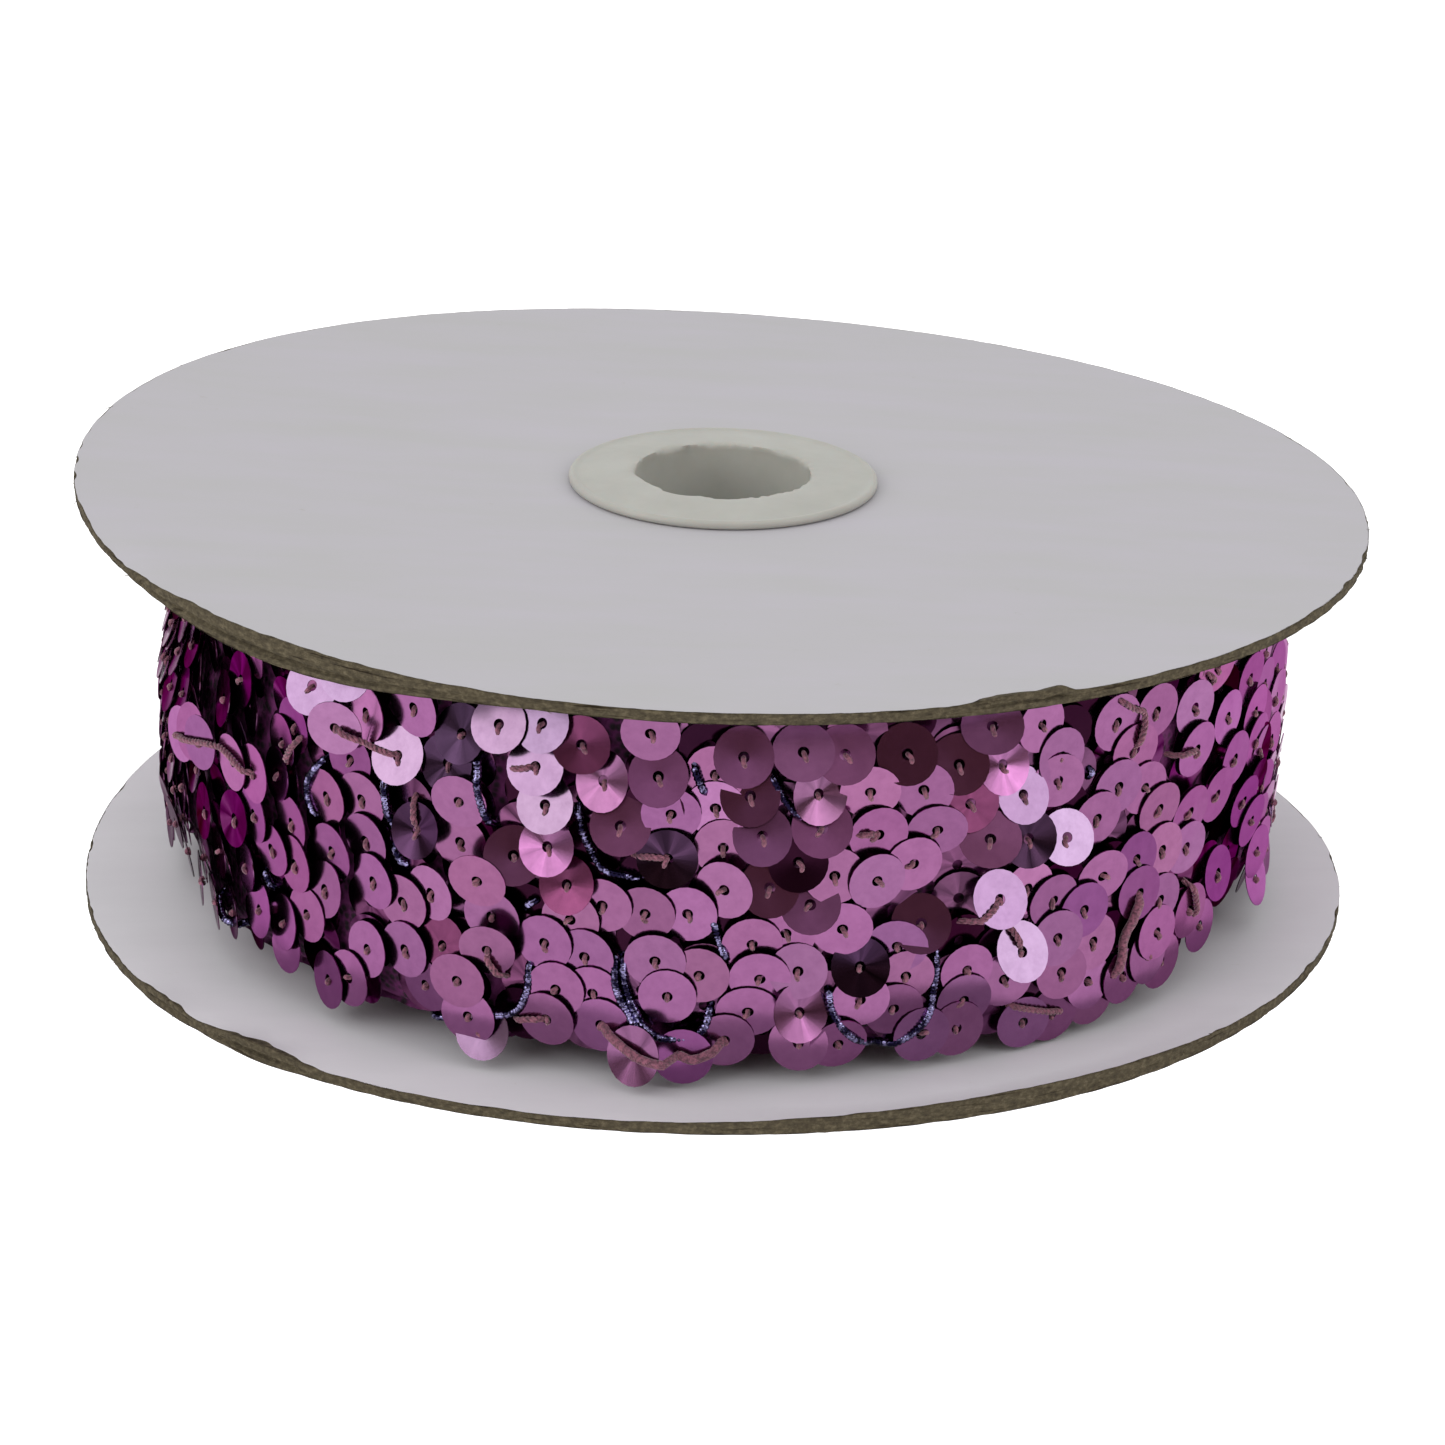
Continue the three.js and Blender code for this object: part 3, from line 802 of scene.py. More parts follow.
# The chains at the front, with heights from the lower disc's underside
FRONT_CHAINS = [
    Chain("lmm", ((-64.5, 24.5), (-61.4, 26.0), (-58.8, 25.8)), 12, -4, 1.3),
    Chain("lm", ((-53.2, 25.6), (-49.6, 25.6)), -4, -4, 1.0),
    Chain("cppp", ((-61.7, 22), (-61, 17), (-58, 13.7), (-63, 11)), -18),
    Chain("ppp", ((-63.6, 8.2), (-59.6, 7.2), (-55.4, 7.8)), -16),
    Chain("mpp", ((-51.2, 38.2), (-54, 34), (-57, 31)), -14),
    Chain("pmm", ((-54, 18.9), (-52.8, 14.1), (-49.7, 10.3)), -14),
    Chain("msmmmm", ((-46, 30), (-46.7, 26.4), (-50.4, 20.7), (-47.7, 17.8), (-46.2, 10.1), (-46, 7.5))),
    Chain("l", ((-37.0, 34.8),), 26, -9, 1.1),
    Chain("m", ((-21.4, 22.5),), 6, -8, 0.45),
    Chain("m", ((-23.7, 30.1),), 2, -12, 0.35),
    Chain("m", ((-20.8, 14.8),), 4, -24, 0.6),
    Chain("m", ((-22.9, 6.9),), 0, -4, 0.5),
    Chain("m", ((-23.8, 10.8),), 0, -11, 0.75),
    Chain("bsmmm", ((-40.8, 37.9), (-44, 32.5), (-44.4, 21.8), (-44, 17.4), (-42.3, 12.4))),
    Chain("bsmmmmm", ((-36.6, 40.4), (-36.6, 31), (-39.6, 26.2), (-38.8, 20.5),
                       (-39.8, 16), (-36.9, 7), (-40, 5.7))),
    Chain("lmmmm", ((-34.5, 36.6), (-35.1, 27.2), (-34.7, 22.8), (-33.7, 18.7), (-34.5, 11))),
    Chain("mbcmmm", ((-29, 38.5), (-30.5, 33.2), (-28.4, 25.7), (-30.3, 17.4), (-30, 12.3), (-27.8, 8.9))),
    Chain("lr", ((-27, 19.3), (-25.9, 13.7))),
    Chain("ccmm", ((-23.9, 36.8), (-25.3, 33.5), (-24.1, 25.3), (-20.8, 18))),
    Chain("bd", ((-20, 38.7), (-18.5, 25.1))),
    Chain("bbbhrmmmm", ((-15.8, 39.5), (-16.4, 34.9), (-15.4, 31.1), (-15.2, 26.6), (-13.4, 22.7),
                        (-13.1, 18.9), (-15.6, 16), (-14.4, 11.2), (-15.3, 7.8))),
    Chain("rhdmmmm", ((-12.1, 37.8), (-10, 34.3), (-8.5, 29.5), (-10.1, 20.8), (-11.7, 15.1),
                      (-10.9, 11.2), (-10.1, 7.8))),
    Chain("mdmcmmm", ((-5.9, 39.5), (-5.1, 35.1), (-3.9, 31.1), (-4.1, 26.5), (-6.1, 20.3),
                      (-5.1, 15.3), (-3.9, 11.5))),
    Chain("mlmmmm", ((0, 35.3), (0.1, 31.8), (0.9, 27.6), (1.1, 23.4), (-2.2, 20.5), (-1, 13.9))),
    Chain("ddddmmmm", ((2.5, 37.5), (3.2, 33.3), (4.4, 29.1), (5.2, 23.7), (3.8, 17.4), (4.6, 13.7),
                       (3.6, 10), (1.5, 6.8))),
    Chain("dhdkdmmhm", ((7.9, 37.8), (9.3, 33.5), (9.8, 29.9), (7.7, 26.4), (9, 21.7), (6.9, 18.5),
                        (8.1, 14.5), (8.3, 10.1), (8.4, 6.6))),
    Chain("dmmmmcmm", ((11.6, 37.6), (14.1, 33.5), (15.2, 28.7), (11.2, 24.6), (12.1, 18.9),
                       (13.9, 14.7), (14.1, 11), (12.2, 6.2))),
    Chain("dmmmmdmmm", ((17.4, 37.2), (19.2, 33.2), (20.8, 28.7), (18.8, 25.1), (15.2, 23.8),
                        (19.7, 18.7), (17.4, 16.6), (18.4, 13.2), (17.5, 9.5))),
    Chain("drdmmmm", ((22.5, 35.5), (23.9, 31.1), (25.9, 27.2), (24.7, 12.8),
                      (24.7, 9.3), (20.5, 6.2), (24.2, 6.2))),
    Chain("b", ((27.2, 20.5),), 2, 25, 0.4),
    Chain("dhbclbmm", ((25.4, 39.3), (27, 34.7), (29.4, 31.1), (30.3, 26.2), (30.9, 20.5),
                       (30.1, 14.1), (28.8, 11), (31.7, 5.3))),
    Chain("mmmbmmmm", ((31.4, 38), (33.9, 34.1), (33.6, 31.6), (34.6, 25.5), (34, 18.5), (34.6, 14.3),
                       (35.4, 10.3), (35.2, 5.3))),
    Chain("mmsmmm", ((40.6, 36.2), (38.9, 26.2), (37.7, 16.6), (39.3, 12.6), (39, 8.2), (39.9, 6))),
    Chain("mmmsm", ((43.2, 32.6), (41.3, 29.1), (39.9, 19.7), (45.1, 16.4), (43.7, 7.4))),
    Chain("mmmsmm", ((46, 36), (45, 28), (47.4, 25), (44.5, 20.3), (48.6, 14.5), (47.2, 8.7))),
    Chain("lmmlmm", ((52.4, 34.5), (53.2, 29.7), (52.6, 23), (48.4, 20.1), (48.2, 11), (50, 7))),
    Chain("mlmmlm", ((56, 37.8), (59, 31.4), (60.8, 26.2), (57.7, 23.2), (52.5, 19.1), (53.8, 11.5))),
    Chain("pps", ((68.5, 24.4), (68, 20.6), (67.5, 16.6))),
    Chain("lmlmssm", ((63, 38), (64, 34), (66, 29.6), (67, 26), (64.5, 20), (59.8, 13.5), (57, 8.5))),
    Chain("b", ((-21.6, 5.3),), -7, 27, 0.3),
    Chain("h", ((-6.6, 5.6),), -22, 15, 1.6),
    Chain("s", ((-2.3, 5.4),), 0, 4, 1.2),
]


@dataclass
class SewnSequins:
    """All the sequins: where each is sewn, and how it lies once the pile has settled.

    Heights above the ground cylinder are a plane for each sequin: its value at the hole, and
    its slopes along the trim and up it.
    """

    roll: WoundRoll
    datum: float = 59.0
    sides: int = 24
    gap: float = 0.14
    under_level: float = 0.3
    upper_level: float = 1.15
    rounds: int = 320
    leg_spacing: float = 4.5
    step: float = 3.95
    under_spacing: float = 6.2
    front_from: float = -66.0
    front_to: float = 66.0
    shaded_to: float = 106.0
    lift_pull: float = 0.08
    slope_pull: float = 0.5
    fading: float = 0.85
    steepest: float = 0.9
    aimed_firmness: float = 0.93
    set_firmness: float = 0.8
    tilt_scatter: float = 2.5
    lean_scatter: float = 3.0
    out_of_round: float = 0.02
    bent: float = 0.06
    worn: float = 0.08
    hue_scatter: float = 0.03
    seed: int = 7

    def __post_init__(self) -> None:
        """Collects the layer beneath, the chains of the rest and those of the front, in that order."""
        self.draw = np.random.default_rng(self.seed)
        rows: list[tuple[float, float, float, float, float, Tint, int, bool]] = []
        layers = (self.under_chains(), self.rear_chains(), FRONT_CHAINS)
        for layer, chains in enumerate(layers):
            rise = LOWER_DISC_UNDERSIDE if chains is FRONT_CHAINS else 0.0
            for chain in chains:
                for order, (letter, (angle, height)) in enumerate(zip(chain.tints, chain.holes)):
                    kind = TINT_LETTERS[letter]
                    lean = self.usual_lean(angle) if chain.lean is None else chain.lean
                    tilt = self.usual_tilt(kind, angle, height, layer) if chain.hang is None else chain.hang
                    goes_on = order < len(chain.holes) - 1
                    rows.append((angle, height + rise, lean, tilt, chain.stands_off, kind, layer, goes_on))
        columns = np.array([row[:5] for row in rows]).T
        self.angle, self.height, self.lean, self.tilt, self.stands_off = columns
        self.kind = [row[5] for row in rows]
        self.layer = np.array([row[6] for row in rows])
        self.has_next = np.array([row[7] for row in rows])
        self.cup = np.array([kind.cup for kind in self.kind])
        self.radius = SEQUIN_RADIUS * (1 + self.draw.normal(0, 0.012, len(rows)))

    def made(self, *kinds: Tint) -> Array:
        """Which of the sequins have one of the tints."""
        return np.array([kind in kinds for kind in self.kind])

    def usual_lean(self, angle: float) -> float:
        """The lean of a chain: left of the front the sequins overlap from the left, like shingles."""
        aside = turn_between(angle, 0.0)
        return -3.0 - 11.0 * smooth_step(-aside, 4, 26) * smooth_step(aside, -72, -58)

    def usual_tilt(self, kind: Tint, angle: float, height: float, layer: int) -> float:
        """How far a sequin faces up: by its tint, and less so beneath, low down and at the sides."""
        if layer == 0:
            return -9.0
        aside = abs(turn_between(angle, 0.0))
        lowest = 1 - smooth_step(height, 7, 19)
        lifted = 11 + 11 * smooth_step(aside, 20, 40)
        flattened = kind.faces_up * (1 - 0.75 * hill(aside - 84, 30))
        return flattened + (lifted * lowest if kind.faces_up < 0 else 0.0)

    def rear_chains(self) -> list[Chain]:
        """The chains round the sides and back: legs with an even pitch, swaying a little."""
        chains = []
        pitch = math.degrees(self.leg_spacing / ROLL_RADIUS)
        for leg in range(int((360 - (self.front_to - self.front_from)) / pitch)):
            angle = self.front_to + 1.5 + (leg + 0.5) * pitch
            letters = "mmmmmmmmmmmmllsslrckbd"
            # the legs on the shaded side get plum and dark films, painted darker as shade
            if angle > 360 - self.shaded_to:
                letters = "ppppppppkks"
            elif angle < self.front_to + 20:
                letters = "mml"
            chains.append(self.leg(angle, 1.0, letters))
        return chains

    def under_chains(self) -> list[Chain]:
        """The chains beneath, that show between the upper ones: their plum and dark films are painted shade.
        """
        pitch = 360 / int(2 * math.pi * ROLL_RADIUS / self.under_spacing)
        return [self.leg(angle, 0.7, "ppk") for angle in np.arange(-180, 179, pitch)]

    def leg(self, angle: float, sway: float, letters: str) -> Chain:
        """One upright chain: even steps down the trim, with the sequins' own small errors."""
        edge = self.roll.lower_edge(angle) + 1.6 + self.draw.uniform(-0.6, 0.9)
        top = self.roll.top(angle, ROLL_RADIUS) - 2.0 - self.draw.uniform(0, 2.0)
        heights = np.arange(top, edge, -self.step)
        phase = self.draw.uniform(0, 2 * np.pi)
        wander = sway * 0.8 * np.sin(heights / 7 + phase) + self.draw.normal(0, 0.35, heights.size)
        angles = angle + np.degrees(wander / ROLL_RADIUS)
        heights = heights + self.draw.normal(0, 0.3, heights.size)
        tints = "".join(self.draw.choice(list(letters), heights.size))
        return Chain(tints, tuple(zip(angles.tolist(), heights.tolist())))

    def targets(self) -> tuple[Array, Array, Array]:
        """The slopes that each sequin would take alone, and how firmly it keeps to them, 0 to 1.

        Most follow the net and their own tint's tilt. A bright one faces halfway between the
        camera and the nearest softbox, a half-lit one halfway between the camera and a place
        below that softbox, and a brown one halfway between the camera and the dim wall.
        """
        angle, height = self.angle, self.height
        side = (self.roll.ground(angle + 1.5, height) - self.roll.ground(angle - 1.5, height)) / 3.2
        climb = (self.roll.ground(angle, height + 1.5) - self.roll.ground(angle, height - 1.5)) / 3
        tilt = self.tilt + self.draw.normal(0, self.tilt_scatter, angle.size)
        lean = self.lean + self.draw.normal(0, self.lean_scatter, angle.size)
        follows = 0.15 + 0.55 * smooth_step(height, 8, 15)
        want_up = follows * np.clip(climb, -0.4, 0.4) - np.tan(np.radians(tilt))
        want_side = 0.7 * np.clip(side, -0.3, 0.3) - np.tan(np.radians(lean))
        here = place(angle, ROLL_RADIUS, height)
        boxes = np.stack([box.position() for box in SOFTBOXES])
        nearest = np.linalg.norm(here[:, None] - boxes[None], axis=2).argmin(1)
        usual = self.stands_off == 0
        aims = {Tint.BRIGHT: boxes[nearest], Tint.HALF: boxes[nearest] * [1.0, 1.0, 0.5],
                Tint.BROWN: np.array([0.0, -1000.0, 620.0])}
        for tint, source in aims.items():
            chosen = usual & self.made(tint)
            facing = unit(unit(source - here) + unit(np.array(CAMERA.position) - here))
            straight = (facing * place(angle, 1.0, 0.0)).sum(1)
            chosen = chosen & (straight > 0.72)
            straight = np.maximum(straight, 0.5)
            want_side = np.where(chosen, -(facing * place(angle + 90, 1.0, 0.0)).sum(1) / straight, want_side)
            want_up = np.where(chosen, -facing[:, 2] / straight, want_up)
        common = usual & self.made(Tint.MAUVE, Tint.SHADED, Tint.DARK, Tint.PLUM)
        yielding = 0.2 + 0.35 * (1 - smooth_step(height, 7, 14))
        firmness = np.where(common, yielding, self.set_firmness)
        return want_side, want_up, np.where(self.made(*aims), self.aimed_firmness, firmness)

    def overlaps(self, slope_side: Array, slope_up: Array) -> tuple[Array, Array, list[tuple[Array, ...]]]:
        """The pairs that overlap and five points of each overlap.

        Args:
            slope_side: the slopes along the trim that the sequins would take alone.
            slope_up: their slopes up the trim.

        Returns:
            The lower and the upper sequin of each pair, and for the overlap's middle, its two
            tips and its two sides the offset from the lower one's hole and from the upper
            one's, in unrolled millimetres. The later layer lies on top. In a layer it is the
            one whose plane is higher where they meet when both take the pair's mean slopes.
        """
        turn = np.radians(turn_between(self.angle[None], self.angle[:, None])) * ROLL_RADIUS
        rise = self.height[None] - self.height[:, None]
        first, second = np.nonzero(np.triu(np.hypot(turn, rise) < 2 * SEQUIN_RADIUS - 0.1, 1))
        turn, rise = turn[first, second], rise[first, second]
        mean_side, mean_up = ((slope[first] + slope[second]) / 2 for slope in (slope_side, slope_up))
        on_top = np.minimum(self.layer, 1)
        second_above = mean_side * turn + mean_up * rise < 0
        above = np.where(on_top[first] == on_top[second], second_above, on_top[second] > on_top[first])
        further = self.stands_off[second] - self.stands_off[first]
        above = np.where(np.abs(further) > 0.1, further > 0, above)
        low, high = np.where(above, first, second), np.where(above, second, first)
        turn, rise = np.where(above, turn, -turn), np.where(above, rise, -rise)
        apart = np.maximum(np.hypot(turn, rise), 0.3)
        tips = 0.95 * np.sqrt(np.maximum(SEQUIN_RADIUS**2 - apart**2 / 4, 0)) / apart
        sides = 0.95 * (SEQUIN_RADIUS - apart / 2) / apart
        points = []
        for along, across in ((0, 0), (1, 0), (-1, 0), (0, 1), (0, -1)):
            x = turn / 2 - along * tips * rise + across * sides * turn
            y = rise / 2 + along * tips * turn + across * sides * rise
            points.append((x, y, x - turn, y - rise))
        return low, high, points

    def plane(self, which: Array, x: Array, y: Array) -> Array:
        """The level of a sequin's plane beside its hole, with the bend of the cylinder in it."""
        sloped = self.slope_side[which] * x + self.slope_up[which] * y
        return self.lift[which] + sloped + x**2 / (2 * ROLL_RADIUS)

    def settle(self) -> None:
        """Lets the pile settle.

        Each round pulls every sequin towards the net and its own slopes, less and less, then
        parts the pairs that cross: at each shared point the upper plane has to be a film, a gap
        and most of the lower one's cup above the lower plane. A push moves both planes and
        turns them, as it would a thin disc, and a rim that has sunk into the net lifts its
        sequin.
        """
        want_side, want_up, firmness = self.targets()
        ground = self.roll.ground(self.angle, self.height) - self.datum
        free_level = ground + np.where(self.layer == 0, self.under_level, self.upper_level) + self.stands_off
        self.lift = free_level.copy()
        self.slope_side, self.slope_up = want_side.copy(), want_up.copy()
        low, high, points = self.overlaps(want_side, want_up)
        spacing = FILM_THICKNESS + self.gap + 0.8 * self.cup[low]
        spin = 4 / SEQUIN_RADIUS**2
        rim = np.linspace(0, 2 * np.pi, 8, endpoint=False)
        rim_x, rim_y = 2.8 * np.cos(rim), 2.8 * np.sin(rim)
        beside = self.angle[:, None] + np.degrees(rim_x / ROLL_RADIUS)
        floor = self.roll.ground(beside, self.height[:, None] + rim_y) - self.datum + 0.12
        count = self.angle.size
        for turn in range(self.rounds):
            fade = 1 - self.fading * turn / self.rounds
            self.lift += self.lift_pull * fade * (free_level - self.lift)
            self.slope_side += self.slope_pull * firmness * fade * (want_side - self.slope_side)
            self.slope_up += self.slope_pull * firmness * fade * (want_up - self.slope_up)
            moves = np.zeros((4, count))
            for low_x, low_y, high_x, high_y in points:
                apart = self.plane(high, high_x, high_y) - self.plane(low, low_x, low_y)
                need = np.maximum(spacing - apart, 0)
                push = need / (2 + spin * (low_x**2 + low_y**2 + high_x**2 + high_y**2))
                for which, x, y, way in ((low, low_x, low_y, -1), (high, high_x, high_y, 1)):
                    for row, amount in enumerate((push, push * spin * x, push * spin * y)):
                        moves[row] += np.bincount(which, way * amount, count)
                    moves[3] += np.bincount(which, need > 0, count)
            share = 1.5 / np.maximum(moves[3], 1.5)
            turned = share * (1 - 0.8 * firmness)
            self.lift += moves[0] * share
            self.slope_side = np.clip(self.slope_side + moves[1] * turned, -self.steepest, self.steepest)
            self.slope_up = np.clip(self.slope_up + moves[2] * turned, -self.steepest, self.steepest)
            rims = self.lift[:, None] + self.slope_side[:, None] * rim_x + self.slope_up[:, None] * rim_y
            self.lift += 0.5 * np.maximum(floor - rims, 0).max(1)
        cross = np.zeros(low.size, bool)
        for low_x, low_y, high_x, high_y in points:
            cross |= self.plane(high, high_x, high_y) < self.plane(low, low_x, low_y)
        LOG.info("pile: %d sequins, %d of %d pairs cross", count, int(cross.sum()), low.size)

    def basis(self) -> tuple[Array, Array, Array, Array]:
        """Each sequin's middle, and its sideways, upward and outward directions."""
        outward, along = place(self.angle, 1.0, 0.0), place(self.angle + 90, 1.0, 0.0)
        upward = np.array([0.0, 0.0, 1.0])
        normal = unit(outward - self.slope_side[:, None] * along - self.slope_up[:, None] * upward)
        side = unit(along + self.slope_side[:, None] * outward)
        middle = place(self.angle, self.datum + self.lift, self.height)
        return middle, side, np.cross(normal, side), normal

    def washers(self, name: str, chosen: Array, films: list[Material]) -> Object:
        """The chosen sequins as one mesh: a thin washer each, cupped and bent a little.

        The dark, plum and conical ones are of the second film.

        A point is the middle plus its radius times (cosine side + sine up), raised by half the
        film, by the cup times its share of the radius, and by the bend times the square of its
        distance from the bend's own line.
        """
        middle, side, up, normal = (row[chosen][:, None, None] for row in self.basis())
        turn = np.linspace(0, 2 * np.pi, self.sides, endpoint=False)[None, None]
        outer = self.radius[chosen][:, None, None]
        hole = SEQUIN_HOLE / SEQUIN_RADIUS
        share = np.array([1, 1, hole, hole])[None, :, None]
        skin = np.array([-0.5, 0.5, 0.5, -0.5])[None, :, None] * FILM_THICKNESS
        wobble = 1 + self.out_of_round * self.draw.normal(0, 1, (outer.size, 1, 1)) * np.cos(2 * turn)
        x, y = share * outer * wobble * np.cos(turn), share * outer * wobble * np.sin(turn)
        cup = self.cup[chosen][:, None, None]
        bend = self.draw.normal(0, self.bent, (outer.size, 1, 1))
        line = self.draw.uniform(0, np.pi, (outer.size, 1, 1))
        lifted = skin + cup * share + bend * ((x * np.cos(line) + y * np.sin(line)) / SEQUIN_RADIUS) ** 2
        points = middle + x[..., None] * side + y[..., None] * up + lifted[..., None] * normal
        each = 4 * self.sides
        faces = repeated(grid_faces(4, self.sides, True, True), outer.size, each)
        colours = np.array([kind.film for kind in self.kind])[chosen]
        worn = self.draw.normal(1, self.worn, (outer.size, 1))
        worn = worn * (1 + self.draw.normal(0, self.hue_scatter, (outer.size, 3)))
        # streaks: rays of lighter and darker film round each sequin, for scratches and as painted streaky
        # reflection
        streaks = np.array([kind.streaks for kind in self.kind])[chosen][:, None, None, None]
        rays = 1 + streaks * self.draw.normal(0, 1, (outer.size, 1, self.sides, 1)) * np.ones((1, 4, 1, 1))
        tint = np.clip((colours * worn)[:, None, None] * rays, 0, 1).reshape(-1, 3)
        tint = np.concatenate([tint, np.ones((len(tint), 1))], 1)
        is_dark = self.made(Tint.DARK, Tint.PLUM, Tint.CONE)[chosen].repeat(each)
        return mesh_piece(name, points, [faces], films, tint=tint, second=is_dark)

    def stitches(self, thread: Material) -> Object:
        """The thread out of each hole and over the film, to where the next sequin covers it.

        It runs in the film's plane towards the next hole, raised by an arch, the square root of
        the sine of its share of the way, with both ends let in. A chain's last sequin has a
        short stitch straight down.
        """
        start = np.nonzero(self.layer > 0)[0]
        middle, _, up, normal = (row[start] for row in self.basis())
        beyond = np.roll(self.basis()[0], -1, axis=0)[start]
        reach = np.where(self.has_next[start][:, None], beyond - middle, -up)
        flat = reach - (reach * normal).sum(1, keepdims=True) * normal
        span = np.clip(np.linalg.norm(reach, axis=1) - 3.2, 0.5, 1.0)[:, None, None]
        share = np.linspace(0, 1, 8)[None, :, None]
        arch = -0.25 + 0.45 * np.sin(np.pi * share) ** 0.5
        sag = self.draw.normal(0, 0.14, (start.size, 1, 1)) * np.sin(np.pi * share)
        across = np.cross(normal, unit(flat))[:, None]
        ahead, out = unit(flat)[:, None], normal[:, None]
        paths = middle[:, None] + ahead * span * share + out * arch + across * sag
        return mesh_piece("stitches", *tubes(paths, STITCH_RADIUS, out, 6), [thread])

    def level(self, angle: Array, height: Array, sunk: float) -> Array:
        """The level of the topmost film over each point, or of the net where there is none.

        Args:
            angle: the points' angles.
            height: their heights.
            sunk: 0 to lie on the topmost layer, 1 on the layer beneath it.

        Returns:
            The level of each point, between the two layers' levels by that share.
        """
        x = np.radians(turn_between(angle[:, None], self.angle[None])) * ROLL_RADIUS
        y = height[:, None] - self.height[None]
        film = self.plane(np.arange(self.angle.size)[None], x, y) + FILM_THICKNESS / 2
        covered = np.hypot(x, y) < SEQUIN_RADIUS
        net = self.roll.ground(angle, height) - self.datum
        top = np.maximum(np.where(covered, film, -99.0).max(1), net)
        beneath = np.maximum(np.where(covered & (self.layer == 0), film, -99.0).max(1), net + 0.3)
        return top + sunk * (beneath - top)

    def laid(self, holes: Array, radius: float, step: float, dive: float, sunk: float) -> Array:
        """A path through a few places of the pile, laid on it with its ends let in.

        Args:
            holes: angle and height of each place.
            radius: the thread's or cord's own radius.
            step: the path's step.
            dive: how deep the ends go.
            sunk: how far it lies down between the sequins, from 0 to 1.

        Returns:
            The path's points in space. Their level is the greatest one nearby, averaged over a
            short run, as a stretched thread bridges the hollows.
        """
        flat = np.stack([np.radians(holes[:, 0]) * ROLL_RADIUS, holes[:, 1]], -1)
        path = smooth_path(flat, step)
        angle, height = np.degrees(path[:, 0] / ROLL_RADIUS), path[:, 1]
        reach = max(int(0.7 / step), 1)
        level = self.level(angle, height, sunk)
        for blend in (np.max, np.mean):
            padded = np.pad(level, reach, mode="edge")
            level = blend(np.lib.stride_tricks.sliding_window_view(padded, 2 * reach + 1), axis=-1)
        along = np.arange(len(path)) * step
        from_end = np.minimum(along, along[-1] - along)
        level = level - dive * (1 - smooth_step(from_end, 0, 1.1))
        return place(angle, self.datum + level + radius * 0.9, height)


@dataclass
class LaidYarns:
    """The loose stitches, the couched metal cords and the thread ends on top of the pile."""

    sequins: SewnSequins
    ply_pitch: float = 1.7
    ply_step: float = 0.24
    rib_pitch: float = 0.44
    seed: int = 19

    def __post_init__(self) -> None:
        """Starts the row of random draws."""
        self.draw = np.random.default_rng(self.seed)

    def front(self, rows: list[Places]) -> list[Array]:
        """Places at the front, whose heights are from the lower disc's underside."""
        return [np.array(row, float) + np.array([0, LOWER_DISC_UNDERSIDE]) for row in rows]

    def scattered(self, shapes: list[Places], spacing: float) -> list[Array]:
        """Shapes, in millimetres across and up, at random heights all round the sides and back."""
        rows = []
        for angle in np.arange(self.sequins.front_to + 24, 342 + self.sequins.front_from, spacing):
            shape = np.array(shapes[self.draw.integers(len(shapes))], float)
            shape = shape * [self.draw.choice([-1, 1]), 1] * self.draw.uniform(0.8, 1.15)
            shape[:, 0] = np.degrees(shape[:, 0] / ROLL_RADIUS) + angle + self.draw.uniform(-2, 2)
            shape[:, 1] = shape[:, 1] - shape[:, 1].min() + self.draw.uniform(9, 30)
            rows.append(shape)
        return rows

    def twisted(self, name: str, rows: list[Array], plies: int, radius: float,
                thread: Material) -> Object:
        """Strands of a few plies of the given radius.

        Each ply's path is the strand's path plus its distance from it times (cosine of the
        twist across + sine of the twist outwards), with one turn for each pitch.
        """
        apart = radius * (0.55 + 0.2 * plies)
        parts = []
        for row in rows:
            path = self.sequins.laid(row, apart + radius, self.ply_step, 0.7, 0.0)
            along = unit(np.gradient(path, axis=0))
            out = unit(path * [1, 1, 0])
            across = unit(np.cross(out, along))
            twist = np.arange(len(path)) * self.ply_step / self.ply_pitch * 2 * np.pi
            for ply in range(plies):
                turn = (twist + 2 * np.pi * ply / plies)[:, None]
                wound = path + apart * (np.cos(turn) * across + np.sin(turn) * out)
                parts.append(tubes(wound[None], radius, out[None], 6))
        return mesh_piece(name, *joined(parts), [thread], 60)

    def ribbed(self, name: str, rows: list[Array], foil: Material) -> Object:
        """Gimp cords: round tubes whose radius swells and shrinks once for each turn of foil."""
        parts = []
        step = self.rib_pitch / 4
        for row in rows:
            path = self.sequins.laid(row, GIMP_RADIUS, step, 1.0, 0.6)
            rib = np.arange(len(path)) % 4
            radii = GIMP_RADIUS * np.array([1.06, 1.0, 0.84, 1.0])[rib]
            parts.append(tubes(path[None], radii[None], unit(path * [1, 1, 0])[None], 8))
        return mesh_piece(name, *joined(parts), [foil], 60)


